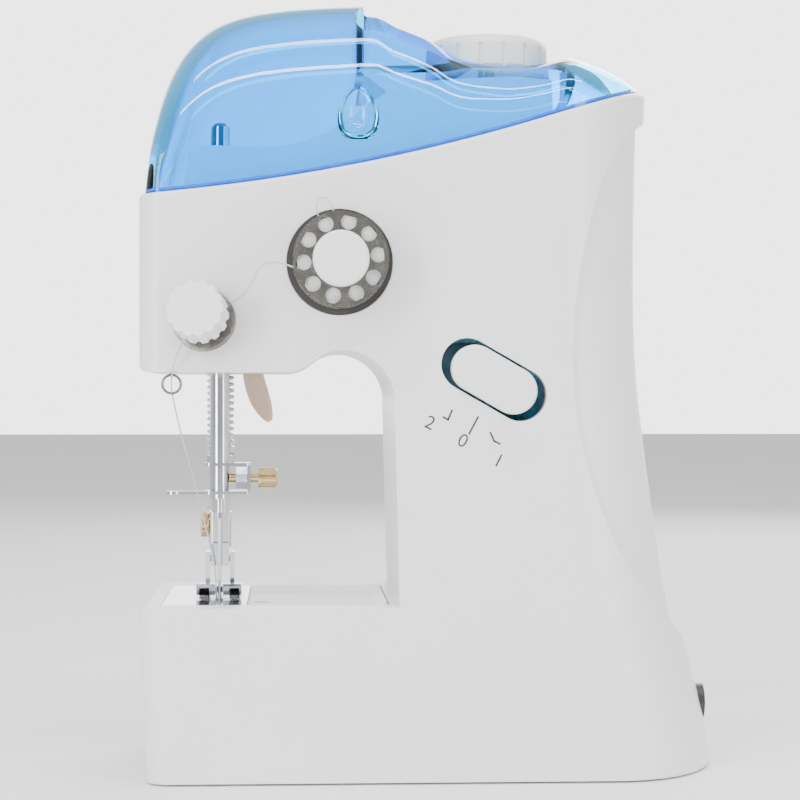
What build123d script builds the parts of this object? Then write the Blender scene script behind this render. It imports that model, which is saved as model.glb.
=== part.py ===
"""Mini desktop sewing machine: every piece is its own solid, in millimetres, +Z up.

The origin is at the bottom centre of the whole object. The front face looks along -Y and
depths are counted from it, towards +Y.
"""

from build123d import *

import math
import os

os.makedirs("parts", exist_ok=True)

# ---- casing ----
case_width = 129.0
case_depth = 68.0
front_reach = 15.2  # how far the spool cap stands out of the front face
wall = 2.2
corner_radius = 5.0
side_wrap = 25.0  # how far the right side curves back from the front face
casing_floor = 0.5
grip_inset = 1.7
seam_half_gap = 0.06
rim_left_z = 127.6
rim_middle_z = 136.2
rim_right_z = 153.7
rim_middle_x = -8.2

# ---- sewing bed and throat ----
bed_z = 38.3
arm_bottom_z = 89.2
plate_thickness = 1.2
plate_gap = 0.15
ledge = 2.0
well_front = 8.0
well_depth = 50.0
needle_plate_left = -60.0
plate_split = -41.4
lid_right = -10.2
lid_hinge_x = lid_right - 0.5
lid_hinge_z = 37.95
lid_pin_radius = 0.3
lid_pin_depths = ((well_front - 1.2, well_front + 1.0), (well_front + well_depth - 1.0, well_front + well_depth + 1.2))

# ---- drive ----
drive_depth = 30.0
wheel_x = 13.3
arm_shaft_z = 122.0
lower_shaft_z = 12.5
shaft_radius = 2.0
shaft_fit = 0.05
bevel_module = 0.8
bevel_teeth = 16
hook_teeth = 8
bevel_face = 3.2
hook_face = 2.4
spur_module = 0.62
spur_teeth = 48
pinion_teeth = 8
spur_z = 96.0
spur_width = 3.0
wheel_radius = 13.6
wheel_bottom_z = 157.9
wheel_height = 7.4
hook_x = -34.0
crank_x = -41.6
crank_radius = 8.5
motor_radius = 12.0
motor_length = 31.0

# ---- needle and presser bars ----
needle_x = -48.0
bar_fit = 0.06
needle_bar_radius = 2.2
needle_bar_bottom_z = 60.6
needle_bar_top_z = 146.5
needle_travel = 17.0
needle_tip_z = 28.3
presser_depth = 38.0
presser_bar_radius = 2.1
presser_bar_bottom_z = 49.6
presser_bar_top_z = 104.0
spring_bottom_z = 70.2
guide_bottom_z = 91.6
guide_height = 4.0
foot_sole_z = 38.9

# ---- front spool, tension and switch ----
spool_x = -21.2
spool_z = 112.9
bobbin_radius = 10.15
bobbin_height = 11.7
bobbin_bore = 3.0
tension_x = -49.8
tension_z = 99.7
tension_tilt = 15.0
knob_radius = 6.1
knob_thickness = 6.8
knob_face = 13.4
switch_x = 12.2
switch_z = 87.6
switch_angle = -29.9
switch_slot_radius = 5.7
switch_slot_centres = 13.3
slider_radius = 5.1
slider_centres = 9.7

# ---- top cover ----
cover_wall = 1.8
cover_inset = 1.3
pocket_floor_z = 157.0
pocket_left = -15.5
pocket_right = 30.5
pocket_front = 14.2
deck_wall = 2.0

# ---- batteries and sockets ----
cell_radius = 7.25
cell_length = 50.5
cell_depth = 55.3
jack_x = 62.6
jack_z = 14.0

# ---- derived places ----
half_width = case_width / 2
half_depth = case_depth / 2
face_y = (front_reach - case_depth) / 2
mid_y = face_y + half_depth
drive_y = face_y + drive_depth
presser_y = face_y + presser_depth
bevel_radius = bevel_module * bevel_teeth / 2
hook_gear_radius = bevel_module * hook_teeth / 2
spur_radius = spur_module * spur_teeth / 2
pinion_radius = spur_module * pinion_teeth / 2
motor_x = wheel_x + spur_radius + pinion_radius

# plan of the casing at a few levels: height, left side, right side
case_levels = [
    (casing_floor, -half_width + 1.7, half_width),
    (12.0, -half_width + 1.0, half_width - 1.5),
    (22.0, -half_width + 0.5, half_width - 4.1),
    (34.0, -half_width, half_width - 7.3),
    (60.0, -half_width, half_width - 11.6),
    (90.0, -half_width, half_width - 15.1),
    (110.0, -half_width, half_width - 15.7),
    (130.0, -half_width, half_width - 15.5),
    (145.0, -half_width, half_width - 15.1),
    (160.0, -half_width, half_width - 14.8),
]
top_right = half_width - 15.0

along_x = (0, 90, 0)
along_y = (90, 0, 0)


def save(part, name):
    """Label a finished piece and write it."""
    part.part.label = name
    export_step(part.part, f"parts/{name}.step")


def plan_outline(left, right, inset):
    """Casing plan: straight front, left and rear, and a right side in two quarter ellipses."""
    x_left = left + inset
    x_turn = right - side_wrap
    y_front = face_y + inset
    y_rear = face_y + case_depth - inset
    bend = corner_radius - inset
    Line((x_left + bend, y_front), (x_turn, y_front))
    EllipticalCenterArc((x_turn, mid_y), side_wrap - inset, half_depth - inset, -90, arc_size=90)
    EllipticalCenterArc((x_turn, mid_y), side_wrap - inset, half_depth - inset, 0, arc_size=90)
    Line((x_turn, y_rear), (x_left + bend, y_rear))
    CenterArc((x_left + bend, y_rear - bend), bend, 90, 90)
    Line((x_left, y_rear - bend), (x_left, y_front + bend))
    CenterArc((x_left + bend, y_front + bend), bend, 180, 90)


def casing_plan_half(x, inset):
    """Half the depth of the casing's top at a place along X."""
    turn = top_right - side_wrap
    if x > turn:
        share = min(1.0, (x - turn) / (side_wrap - inset))
        return (half_depth - inset) * math.sqrt(1 - share**2)
    run = -half_width + corner_radius - x
    if run > 0:
        bend = corner_radius - inset
        return half_depth - corner_radius + math.sqrt(max(0.0, bend**2 - run**2))
    return half_depth - inset


def casing_block(inset):
    """The casing's whole outer form, or its hollow when there is an inset."""
    with BuildPart() as block:
        for level, left, right in case_levels:
            with BuildSketch(Plane.XY.offset(level)):
                with BuildLine():
                    plan_outline(left, right, inset)
                make_face()
        loft()
    return block.part


def rod(x, y, low, high, radius):
    """Upright round bar between two heights."""
    with Locations((x, y, (low + high) / 2)):
        Cylinder(radius, high - low)


def cross_rod(low, high, y, z, radius, mode=Mode.ADD):
    """Round bar along X between two places."""
    with Locations(((low + high) / 2, y, z)):
        Cylinder(radius, high - low, rotation=along_x, mode=mode)


def deep_rod(x, front, back, z, radius, mode=Mode.ADD):
    """Round bar along Y between two depths."""
    with Locations((x, face_y + (front + back) / 2, z)):
        Cylinder(radius, back - front, rotation=along_y, mode=mode)


def slab(x_range, depth_range, z_range, mode=Mode.ADD):
    """Box between two places along X, two depths and two heights."""
    centre = (sum(x_range) / 2, face_y + sum(depth_range) / 2, sum(z_range) / 2)
    with Locations(centre):
        Box(
            x_range[1] - x_range[0],
            depth_range[1] - depth_range[0],
            z_range[1] - z_range[0],
            mode=mode,
        )


def gear_points(teeth, module_size, shrink=1.0, turn=0.0):
    """Straight-sided gear outline, with room between meshing teeth."""
    pitch = 2 * math.pi / teeth
    pitch_radius = teeth * module_size / 2
    root = (pitch_radius - 1.05 * module_size) * shrink
    tip = (pitch_radius + 0.75 * module_size) * shrink
    points = []
    for tooth in range(teeth):
        middle = tooth * pitch + math.radians(turn)
        for radius, share in ((root, -0.27), (tip, -0.12), (tip, 0.12), (root, 0.27)):
            angle = middle + share * pitch
            points.append((radius * math.cos(angle), radius * math.sin(angle)))
    return points


def bevel_sections(plane, teeth, face_share, depth, turn=0.0):
    """Bevel gear: its big end on the plane, narrowing along the plane's normal."""
    faces = []
    for shift, shrink in ((0, 1.0), (depth, 1 - face_share)):
        with BuildSketch(plane.offset(shift)) as section:
            Polygon(*gear_points(teeth, bevel_module, shrink, turn), align=None)
        faces.append(section.sketch.face())
    loft(faces, ruled=True)


# ---- rim curve, on which the top cover sits ----
rim_arc = ThreePointArc(
    (-half_width - 2, rim_left_z - 0.2),
    (rim_middle_x, rim_middle_z),
    (top_right + 3, rim_right_z + 1.1),
)
rim_centre = rim_arc.arc_center
rim_radius = rim_arc.radius


def rim_height(x):
    """Height of the casing's rim at a place along X."""
    return rim_centre.Y - math.sqrt(rim_radius**2 - (x - rim_centre.X) ** 2)


above_rim_left = (-half_width - 2, 200)
above_rim_right = (top_right + 3, 200)

# the throat: under the arm, round the arch, down the column and over the bed
arch_left = -33.0
arch_top = (-20.5, 94.0)
arch_foot = (-9.3, 81.8)
column_foot = (-8.2, bed_z)
arm_corner = 2.0
bed_corner = 2.5


def throat_outline():
    """Closed outline of the throat in the XZ plane."""
    left = -half_width
    outside = left - 10
    Line((outside, arm_bottom_z + arm_corner), (left, arm_bottom_z + arm_corner))
    RadiusArc((left, arm_bottom_z + arm_corner), (left + arm_corner, arm_bottom_z), -arm_corner)
    Line((left + arm_corner, arm_bottom_z), (arch_left, arm_bottom_z))
    arch_middle = ((arch_left + arch_top[0]) / 2, (arm_bottom_z + arch_top[1]) / 2)
    rise = TangentArc((arch_left, arm_bottom_z), arch_middle, tangent=(1, 0))
    TangentArc(arch_middle, arch_top, tangent=rise % 1)
    TangentArc(arch_top, arch_foot, tangent=(1, 0))
    Line(arch_foot, column_foot)
    Line(column_foot, (left + bed_corner, bed_z))
    RadiusArc((left + bed_corner, bed_z), (left, bed_z - bed_corner), -bed_corner)
    Line((left, bed_z - bed_corner), (outside, bed_z - bed_corner))
    Line((outside, bed_z - bed_corner), (outside, arm_bottom_z + arm_corner))


front_plane = Plane(origin=(0, face_y + case_depth + 20, 0), x_dir=(1, 0, 0), z_dir=(0, -1, 0))
through = case_depth + 40

with BuildPart() as throat:
    with BuildSketch(front_plane):
        with BuildLine():
            throat_outline()
        make_face()
    extrude(amount=through)

with BuildPart() as throat_wall:
    with BuildSketch(front_plane):
        with BuildLine():
            throat_outline()
        make_face()
        offset(amount=wall, kind=Kind.ARC)
    extrude(amount=through)

with BuildPart() as above_rim:
    with BuildSketch(front_plane):
        with BuildLine():
            add(rim_arc)
            Polyline(rim_arc @ 1, above_rim_right, above_rim_left, rim_arc @ 0)
        make_face()
    extrude(amount=through)

# the grip: a lens of the right side, set back behind a curved step
grip_points = [
    (52.5, 148.0),
    (40.1, 138.4),
    (33.1, 120.7),
    (29.3, 92.0),
    (32.1, 70.5),
    (40.8, 49.1),
    (50.9, 35.8),
    (62.0, 26.0),
]
with BuildPart() as grip:
    with BuildSketch(front_plane):
        with BuildLine():
            edge = Spline(*grip_points)
            Polyline(edge @ 1, (90, 26.0), (90, 148.0), edge @ 0)
        make_face()
    extrude(amount=through)

outer_block = casing_block(0)
hollow_block = casing_block(wall + grip_inset)
grip_block = casing_block(grip_inset)

screw_places = [(-25.0, 100.5), (2.5, 62.0), (37.0, 119.0)]
base_screw_places = [(-56.0, 6.2), (12.0, 6.2), (46.0, 8.0)]
boss_radius = 3.2
screw_radius = 1.25
screw_head_radius = 2.6
switch_lean = math.radians(switch_angle)
switch_way = (math.cos(switch_lean), 0, math.sin(switch_lean))
switch_place = Plane(origin=(switch_x, face_y, switch_z), x_dir=switch_way, z_dir=(0, -1, 0))
lever_slot_x = (-46.5, -26.0)
lever_depths = (43.6, 49.4)

edge_radius = 0.9


def along_rim(edge):
    """Whether an edge lies flat on the front or the rear face and follows the rim."""
    box = edge.bounding_box()
    flat = box.size.Y < 0.02 and abs(abs(box.center().Y - mid_y) - half_depth) < 0.02
    return flat and box.max.Z > arm_bottom_z + 20 and box.size.X > 20


with BuildPart() as casing:
    add(outer_block)
    add(grip.part, mode=Mode.SUBTRACT)
    with BuildPart(mode=Mode.PRIVATE) as grip_side:
        add(grip_block)
        add(grip.part, mode=Mode.INTERSECT)
    add(grip_side.part)
    add(throat.part, mode=Mode.SUBTRACT)
    add(above_rim.part, mode=Mode.SUBTRACT)
    fillet([edge for edge in casing.edges() if along_rim(edge)], edge_radius)
    with BuildPart(mode=Mode.PRIVATE) as hollow:
        add(hollow_block)
        add(throat_wall.part, mode=Mode.SUBTRACT)
        for screw_x, screw_z in screw_places:
            deep_rod(screw_x, -5, case_depth + 5, screw_z, boss_radius, mode=Mode.SUBTRACT)
        for screw_x, screw_depth in base_screw_places:
            with Locations((screw_x, face_y + screw_depth, 12)):
                Cylinder(boss_radius, 30, mode=Mode.SUBTRACT)
    add(hollow.part, mode=Mode.SUBTRACT)
    # bed: a ledge for the plates round an open well
    slab(
        (needle_plate_left - plate_gap, lid_right + plate_gap),
        (well_front - plate_gap, well_front + well_depth + plate_gap),
        (bed_z - plate_thickness, bed_z + 1),
        mode=Mode.SUBTRACT,
    )
    slab(
        (needle_plate_left + ledge, lid_right - ledge),
        (well_front + ledge, well_front + well_depth - ledge),
        (bed_z - 6, bed_z),
        mode=Mode.SUBTRACT,
    )
    for pin_depths in lid_pin_depths:
        deep_rod(lid_hinge_x, *pin_depths, lid_hinge_z, lid_pin_radius + 0.05, Mode.SUBTRACT)
    # arm underside: bar holes and the lever's slot
    with Locations((needle_x, drive_y, arm_bottom_z)):
        Cylinder(needle_bar_radius + 0.9, 8, mode=Mode.SUBTRACT)
    with Locations((needle_x, presser_y, arm_bottom_z)):
        Cylinder(4.0, 8, mode=Mode.SUBTRACT)
    slab(lever_slot_x, lever_depths, (arm_bottom_z - 2, arm_bottom_z + 4), mode=Mode.SUBTRACT)
    # screws from the rear
    for screw_x, screw_z in screw_places:
        deep_rod(screw_x, half_depth - 12, case_depth + 5, screw_z, screw_radius, Mode.SUBTRACT)
        deep_rod(screw_x, half_depth + 14, case_depth + 5, screw_z, screw_head_radius + 0.2, Mode.SUBTRACT)
    for screw_x, screw_depth in base_screw_places:
        with Locations((screw_x, face_y + screw_depth, 5)):
            Cylinder(screw_radius, 20, mode=Mode.SUBTRACT)
    # front face: spool, tension and switch
    deep_rod(spool_x, -1, 0.8, spool_z, 11.5, Mode.SUBTRACT)
    deep_rod(spool_x, -1, wall + 3, spool_z, 2.6, Mode.SUBTRACT)
    deep_rod(tension_x, -1, wall + 3, tension_z, 2.6, Mode.SUBTRACT)
    with BuildSketch(switch_place):
        SlotCenterToCenter(switch_slot_centres, 2 * switch_slot_radius)
    extrude(amount=-8, mode=Mode.SUBTRACT)
    with Locations((needle_x - 9.6, face_y + 5.6, arm_bottom_z)):
        Cylinder(0.9, 8, mode=Mode.SUBTRACT)
    # sockets on the right side
    for jack_depth in (half_depth - 6.5, half_depth + 6.5):
        with Locations((jack_x, face_y + jack_depth, jack_z)):
            Cylinder(4.1, 20, rotation=along_x, mode=Mode.SUBTRACT)

with BuildPart() as front_casing:
    add(casing.part)
    split(bisect_by=Plane.XZ.offset(-(mid_y - seam_half_gap)), keep=Keep.TOP)
with BuildPart() as rear_casing:
    add(casing.part)
    split(bisect_by=Plane.XZ.offset(-(mid_y + seam_half_gap)), keep=Keep.BOTTOM)
save(front_casing, "front_casing")
save(rear_casing, "rear_casing")


# ---- top cover: an arched clear shell with a pocket for the handwheel ----
# stations along X with the height of the arch there
cover_stations = [
    (-63.4, 133.0),
    (-62.2, 145.0),
    (-58.5, 156.9),
    (-53.0, 165.2),
    (-45.0, 169.8),
    (-33.0, 172.0),
    (-16.0, 173.1),
    (-12.0, 172.6),
    (-8.6, 170.4),
    (-6.0, 169.2),
    (-0.2, 166.2),
    (5.6, 161.9),
    (14.0, 159.9),
    (17.6, 159.5),
    (24.0, 160.2),
    (27.6, 161.1),
    (30.0, 161.4),
    (35.7, 159.6),
    (38.5, 158.6),
    (43.5, 156.2),
    (46.4, 154.7),
    (48.1, 153.9),
]
notch_x = -17.1
notch_radius = 3.4
notch_floor_z = 141.2


def cover_top(x):
    """Height of the cover's crown at a place along X."""
    for (x_before, top_before), (x_after, top_after) in zip(cover_stations, cover_stations[1:]):
        if x_before <= x <= x_after:
            share = (x - x_before) / (x_after - x_before)
            return top_before + share * (top_after - top_before)
    return cover_stations[-1][1]


def cover_block(shrink, drop):
    """The cover's outer form, or its hollow when it shrinks and drops."""
    last = cover_stations[-1][0] - shrink
    places = [x + shrink for x, top in cover_stations if x < pocket_left]
    tops = [top for x, top in cover_stations if x < pocket_left]
    places += [x for x, top in cover_stations if pocket_left < x < last - 0.5] + [last]
    tops += [cover_top(x) for x in places[len(tops):]]
    with BuildPart() as block:
        for x, top in zip(places, tops):
            half = casing_plan_half(x, cover_inset + shrink)
            low = rim_height(x) + seam_half_gap - drop
            rise = top - shrink - low
            with BuildSketch(Plane(origin=(x, mid_y, low), x_dir=(0, 1, 0), z_dir=(1, 0, 0))):
                with BuildLine():
                    arch = Spline(
                        (-half, 0),
                        (-0.9 * half, 0.56 * rise),
                        (-0.6 * half, 0.88 * rise),
                        (0, rise),
                        (0.6 * half, 0.88 * rise),
                        (0.9 * half, 0.56 * rise),
                        (half, 0),
                    )
                    Line(arch @ 1, arch @ 0)
                make_face()
        loft(ruled=True)
    return block.part


pocket_corner = 4.0
pocket_x = (pocket_left, pocket_right)
pocket_depths = (pocket_front, case_depth + 10)


def pocket(grow):
    """The handwheel's pocket, or the block of its walls when it grows."""
    with BuildPart() as space:
        slab(
            (pocket_x[0] - grow, pocket_x[1] + grow),
            (pocket_depths[0] - grow, pocket_depths[1]),
            (pocket_floor_z - grow, 190),
        )
        fillet(space.edges().filter_by(Axis.Z).sort_by(Axis.Y)[:2], pocket_corner + grow)
    return space.part


shaft_hole = 3.4
with BuildPart() as top_cover:
    add(cover_block(0, 0))
    with BuildPart(mode=Mode.PRIVATE) as cover_hollow:
        add(cover_block(cover_wall, 3.0))
        add(pocket(cover_wall - 0.2), mode=Mode.SUBTRACT)
        with Locations((notch_x, face_y, notch_floor_z + 18)):
            Cylinder(notch_radius + cover_wall - 0.2, 40, mode=Mode.SUBTRACT)
    add(cover_hollow.part, mode=Mode.SUBTRACT)
    add(pocket(0), mode=Mode.SUBTRACT)
    with Locations((notch_x, face_y, notch_floor_z + 20)):
        Cylinder(notch_radius, 40, mode=Mode.SUBTRACT)
    with Locations((wheel_x, drive_y, pocket_floor_z)):
        Cylinder(shaft_hole, 8, mode=Mode.SUBTRACT)
save(top_cover, "top_cover")

# ---- inner deck: white tray under the cover, low over the arm and high under the wheel ----
deck_high_z = 153.6
deck_low_z = 139.4
deck_front = 12.0
deck_back = case_depth - 12.0
deck_left = -56.0
deck_right = 26.0
deck_sink = 1.5


def deck_outline(inset):
    """Deck seen from the front, its underside along the rim."""
    left = deck_left + inset
    right = deck_right - inset
    under = rim_height(left) - deck_sink
    crown = Spline(
        (left + 2, deck_low_z - inset),
        (-29.0, deck_low_z + 0.9 - inset),
        (-20.0, 144.6 - inset),
        (-10.0, deck_high_z - 2.2 - inset),
        (3.0, deck_high_z - inset),
        tangents=[(1, 0), (1, 0)],
    )
    Polyline(crown @ 0, (left, under), (right, rim_height(right) - deck_sink), (right, deck_high_z - inset), crown @ 1)


with BuildPart() as inner_deck:
    for inset, mode in ((0, Mode.ADD), (deck_wall, Mode.SUBTRACT)):
        with BuildSketch(Plane(origin=(0, face_y + deck_back - inset, 0), x_dir=(1, 0, 0), z_dir=(0, -1, 0))):
            with BuildLine():
                deck_outline(inset)
            make_face()
        extrude(amount=deck_back - deck_front - 2 * inset, mode=mode)
    slab(
        (deck_left + deck_wall, deck_right - deck_wall),
        (deck_front + deck_wall, deck_back - deck_wall),
        (110, 136),
        mode=Mode.SUBTRACT,
    )
    slab((-10, deck_right - deck_wall), (deck_front + deck_wall, deck_back - deck_wall), (110, 150), mode=Mode.SUBTRACT)
    with Locations((needle_x, drive_y, deck_low_z)):
        Cylinder(4.0, 12, mode=Mode.SUBTRACT)
    with Locations((wheel_x, drive_y, deck_high_z)):
        Cylinder(shaft_hole, 12, mode=Mode.SUBTRACT)
save(inner_deck, "inner_deck")

# ---- base plate, battery door and feet ----
base_thickness = 2.0
foot_height = 1.6
foot_radius = 4.0
foot_sink = 1.1
door_x = (-52.5, 34.0)
door_depths = (48.0, 61.5)
door_gap = 0.3
door_travel = 5.0
foot_places = [(-52.0, 14.5), (-52.0, 40.0), (44.0, 18.0), (44.0, 50.0)]
base_bottom = casing_floor

with BuildPart() as base_plate:
    with BuildSketch(Plane.XY.offset(base_bottom)):
        with BuildLine():
            plan_outline(case_levels[0][1], case_levels[0][2], wall + grip_inset + plate_gap)
        make_face()
    extrude(amount=base_thickness)
    for screw_x, screw_depth in base_screw_places:
        with Locations((screw_x, face_y + screw_depth, base_bottom)):
            Cylinder(boss_radius + plate_gap, 10, mode=Mode.SUBTRACT)
    slab(
        (door_x[0] - door_travel - door_gap, door_x[1] + door_gap),
        (door_depths[0] - door_gap, door_depths[1] + door_gap),
        (0, 5),
        mode=Mode.SUBTRACT,
    )
    for foot_x, foot_depth in foot_places:
        with Locations((foot_x, face_y + foot_depth, base_bottom)):
            Cylinder(foot_radius, 2 * foot_sink, mode=Mode.SUBTRACT)
save(base_plate, "base_plate")

with BuildPart() as battery_door:
    slab(door_x, door_depths, (base_bottom + 0.1, base_bottom + base_thickness - 0.2))
    fillet(battery_door.edges().filter_by(Axis.Z), 1.5)
    for groove in range(4):
        slab(
            (door_x[1] - 8 - 2.4 * groove, door_x[1] - 7 - 2.4 * groove),
            (door_depths[0] + 3, door_depths[1] - 3),
            (0, base_bottom + 0.5),
            mode=Mode.SUBTRACT,
        )
save(battery_door, "battery_door")

with BuildPart() as rubber_feet:
    for foot_x, foot_depth in foot_places:
        rod(foot_x, face_y + foot_depth, 0, base_bottom + foot_sink, foot_radius)
save(rubber_feet, "rubber_feet")

with BuildPart() as casing_screws:
    for screw_x, screw_z in screw_places:
        deep_rod(screw_x, half_depth - 10, half_depth + 14, screw_z, screw_radius)
        deep_rod(screw_x, half_depth + 14, half_depth + 16, screw_z, screw_head_radius)
    for screw_x, screw_depth in base_screw_places:
        rod(screw_x, face_y + screw_depth, base_bottom, 12, screw_radius)
        rod(screw_x, face_y + screw_depth, base_bottom - 0.1, base_bottom, screw_head_radius)
save(casing_screws, "casing_screws")

# ---- needle plate and bobbin lid ----
plate_bottom = bed_z - plate_thickness
needle_plate_right = plate_split
needle_hole = 0.9
dog_bar_places = (needle_x - 3.4, needle_x + 3.4)
dog_bar_width = 1.6
dog_depths = (25.5, 39.5)
dog_travel = 1.25
with BuildPart() as needle_plate:
    slab((needle_plate_left, needle_plate_right), (well_front, well_front + well_depth), (plate_bottom, bed_z))
    fillet(needle_plate.edges().filter_by(Axis.Z), 0.8)
    with Locations((needle_x, drive_y, bed_z)):
        Cylinder(needle_hole, 8, mode=Mode.SUBTRACT)
    for bar_x in dog_bar_places:
        slab(
            (bar_x - dog_bar_width / 2 - 0.35, bar_x + dog_bar_width / 2 + 0.35),
            (dog_depths[0] - dog_travel - 0.4, dog_depths[1] + dog_travel + 0.4),
            (bed_z - 5, bed_z + 1),
            mode=Mode.SUBTRACT,
        )
save(needle_plate, "needle_plate")

with BuildPart() as bobbin_lid:
    slab((plate_split + 0.2, lid_right - 0.25), (well_front, well_front + well_depth), (plate_bottom + 0.05, bed_z))
    fillet(bobbin_lid.edges().filter_by(Axis.Z), 0.8)
    chamfer(bobbin_lid.edges().filter_by(Axis.Y).sort_by(Axis.X)[-2:].sort_by(Axis.Z)[0], 0.5)
    with Locations((plate_split + 3.0, face_y + well_front + 7, bed_z + 2.2)):
        Sphere(3.0, mode=Mode.SUBTRACT)
    for pin_front, pin_back in lid_pin_depths:
        deep_rod(lid_hinge_x, pin_front, pin_back, lid_hinge_z, lid_pin_radius)
save(bobbin_lid, "bobbin_lid")

# ---- chassis: back plate with bearing blocks, guide block and motor shelf ----
back_plate = (46.0, 48.0)
block_front = 25.0
guide_x = (needle_x - 5.0, needle_x + 5.0)
head_plate_x = (-57.0, -54.6)
arm_bearings = ((-37.0, -33.0), (-3.0, 1.0))
bearing_radius = 3.4
with BuildPart() as chassis:
    slab((head_plate_x[0], 24), back_plate, (109, 126))
    slab((-2, 24), back_plate, (44, 148))
    slab(head_plate_x, (block_front, back_plate[1]), (guide_bottom_z, 126))
    slab((head_plate_x[0], guide_x[1]), (block_front, 41.9), (guide_bottom_z, guide_bottom_z + guide_height))
    for low, high in arm_bearings:
        slab((low, high), (block_front, back_plate[1]), (arm_shaft_z - 5, arm_shaft_z + 5))
    for low, high in ((104, 108), (134, 138)):
        slab((wheel_x - 5, wheel_x + 5), (block_front, back_plate[1]), (low, high))
    slab((wheel_x - 5, wheel_x + 5), (block_front, back_plate[1]), (44, 48))
    slab((20, 44), (19, back_plate[1]), (spur_z - 4.5, spur_z - 2.5))
    slab((20, 44), back_plate, (60, spur_z - 2.5))
    for low, high in arm_bearings:
        cross_rod(low - 1, high + 1, drive_y, arm_shaft_z, bearing_radius, Mode.SUBTRACT)
    for low in (104, 134, 44):
        with Locations((wheel_x, drive_y, low + 2)):
            Cylinder(bearing_radius, 6, mode=Mode.SUBTRACT)
    with Locations((needle_x, drive_y, guide_bottom_z)):
        Cylinder(bearing_radius, 12, mode=Mode.SUBTRACT)
    with Locations((needle_x, presser_y, guide_bottom_z)):
        Cylinder(bearing_radius, 12, mode=Mode.SUBTRACT)
    with Locations((motor_x, drive_y, spur_z)):
        Cylinder(3.6, 12, mode=Mode.SUBTRACT)
    for screw_x, screw_z in screw_places:
        deep_rod(screw_x, 0, case_depth, screw_z, boss_radius + plate_gap, Mode.SUBTRACT)
save(chassis, "chassis")

lower_bearings = ((-26.0, -22.0), (-6.0, -2.0))
hook_shelf = (19.6, 20.4)
frame_floor = base_bottom + base_thickness + 0.2
with BuildPart() as bed_frame:
    slab((-46, 6), (21, 39), (frame_floor, frame_floor + 1.6))
    for low, high in lower_bearings:
        slab((low, high), (25, 35), (frame_floor, lower_shaft_z + 5))
    slab((-46, -22), (16, 20.5), (frame_floor, hook_shelf[1]))
    slab((-46, -22), (16, 44), hook_shelf)
    slab((-46, -22), (39.5, 44), (frame_floor, hook_shelf[1]))
    slab((-46, -22), (16, 44), (frame_floor, frame_floor + 1.6))
    for low, high in lower_bearings:
        cross_rod(low - 1, high + 1, drive_y, lower_shaft_z, bearing_radius, Mode.SUBTRACT)
    with Locations((hook_x, drive_y, hook_shelf[0])):
        Cylinder(bearing_radius, 6, mode=Mode.SUBTRACT)
save(bed_frame, "bed_frame")

with BuildPart() as shaft_bushings:
    for low, high in arm_bearings:
        cross_rod(low, high, drive_y, arm_shaft_z, bearing_radius)
        cross_rod(low - 1, high + 1, drive_y, arm_shaft_z, shaft_radius + shaft_fit, Mode.SUBTRACT)
    for low, high in lower_bearings:
        cross_rod(low, high, drive_y, lower_shaft_z, bearing_radius)
        cross_rod(low - 1, high + 1, drive_y, lower_shaft_z, shaft_radius + shaft_fit, Mode.SUBTRACT)
    for x, low, high in ((wheel_x, 104, 108), (wheel_x, 134, 138), (wheel_x, 44, 48), (hook_x, *hook_shelf)):
        rod(x, drive_y, low, high, bearing_radius)
        with Locations((x, drive_y, (low + high) / 2)):
            Cylinder(shaft_radius + shaft_fit, high - low + 2, mode=Mode.SUBTRACT)
save(shaft_bushings, "shaft_bushings")

deck_bushing = (134.6, deck_low_z + 0.6)
with BuildPart() as bar_bushings:
    rod(needle_x, drive_y, guide_bottom_z, guide_bottom_z + guide_height, bearing_radius)
    rod(needle_x, drive_y, *deck_bushing, 4.0)
    rod(needle_x, presser_y, guide_bottom_z, guide_bottom_z + guide_height, bearing_radius)
    with Locations((needle_x, drive_y, 115)):
        Cylinder(needle_bar_radius + bar_fit, 60, mode=Mode.SUBTRACT)
    with Locations((needle_x, presser_y, 92)):
        Cylinder(presser_bar_radius + bar_fit, 20, mode=Mode.SUBTRACT)
save(bar_bushings, "bar_bushings")

# ---- drive: handwheel, upright shaft and its gears ----
shaft_bottom_z = lower_shaft_z + bevel_radius - bevel_face
wheel_grooves = 16
wheel_hub_radius = 3.0
with BuildPart() as handwheel:
    rod(wheel_x, drive_y, wheel_bottom_z, wheel_bottom_z + wheel_height, wheel_radius)
    fillet(handwheel.faces().sort_by(Axis.Z)[-1].edges(), 2.6)
    chamfer(handwheel.faces().sort_by(Axis.Z)[0].edges(), 0.6)
    with Locations((wheel_x, drive_y, wheel_bottom_z)):
        with PolarLocations(wheel_radius, wheel_grooves, start_angle=-90 + 180 / wheel_grooves):
            Cylinder(0.55, 2 * wheel_height - 4.0, mode=Mode.SUBTRACT)
    with Locations((wheel_x, drive_y, wheel_bottom_z)):
        Cylinder(wheel_radius - 2.2, 9.0, mode=Mode.SUBTRACT)
    rod(wheel_x, drive_y, wheel_bottom_z, wheel_bottom_z + 6, wheel_hub_radius + 1.6)
    with Locations((wheel_x, drive_y, wheel_bottom_z)):
        Cylinder(shaft_radius, 9.0, mode=Mode.SUBTRACT)
save(handwheel, "handwheel")

with BuildPart() as wheel_shaft:
    rod(wheel_x, drive_y, shaft_bottom_z, wheel_bottom_z + 4.5, shaft_radius)
save(wheel_shaft, "wheel_shaft")

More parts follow.
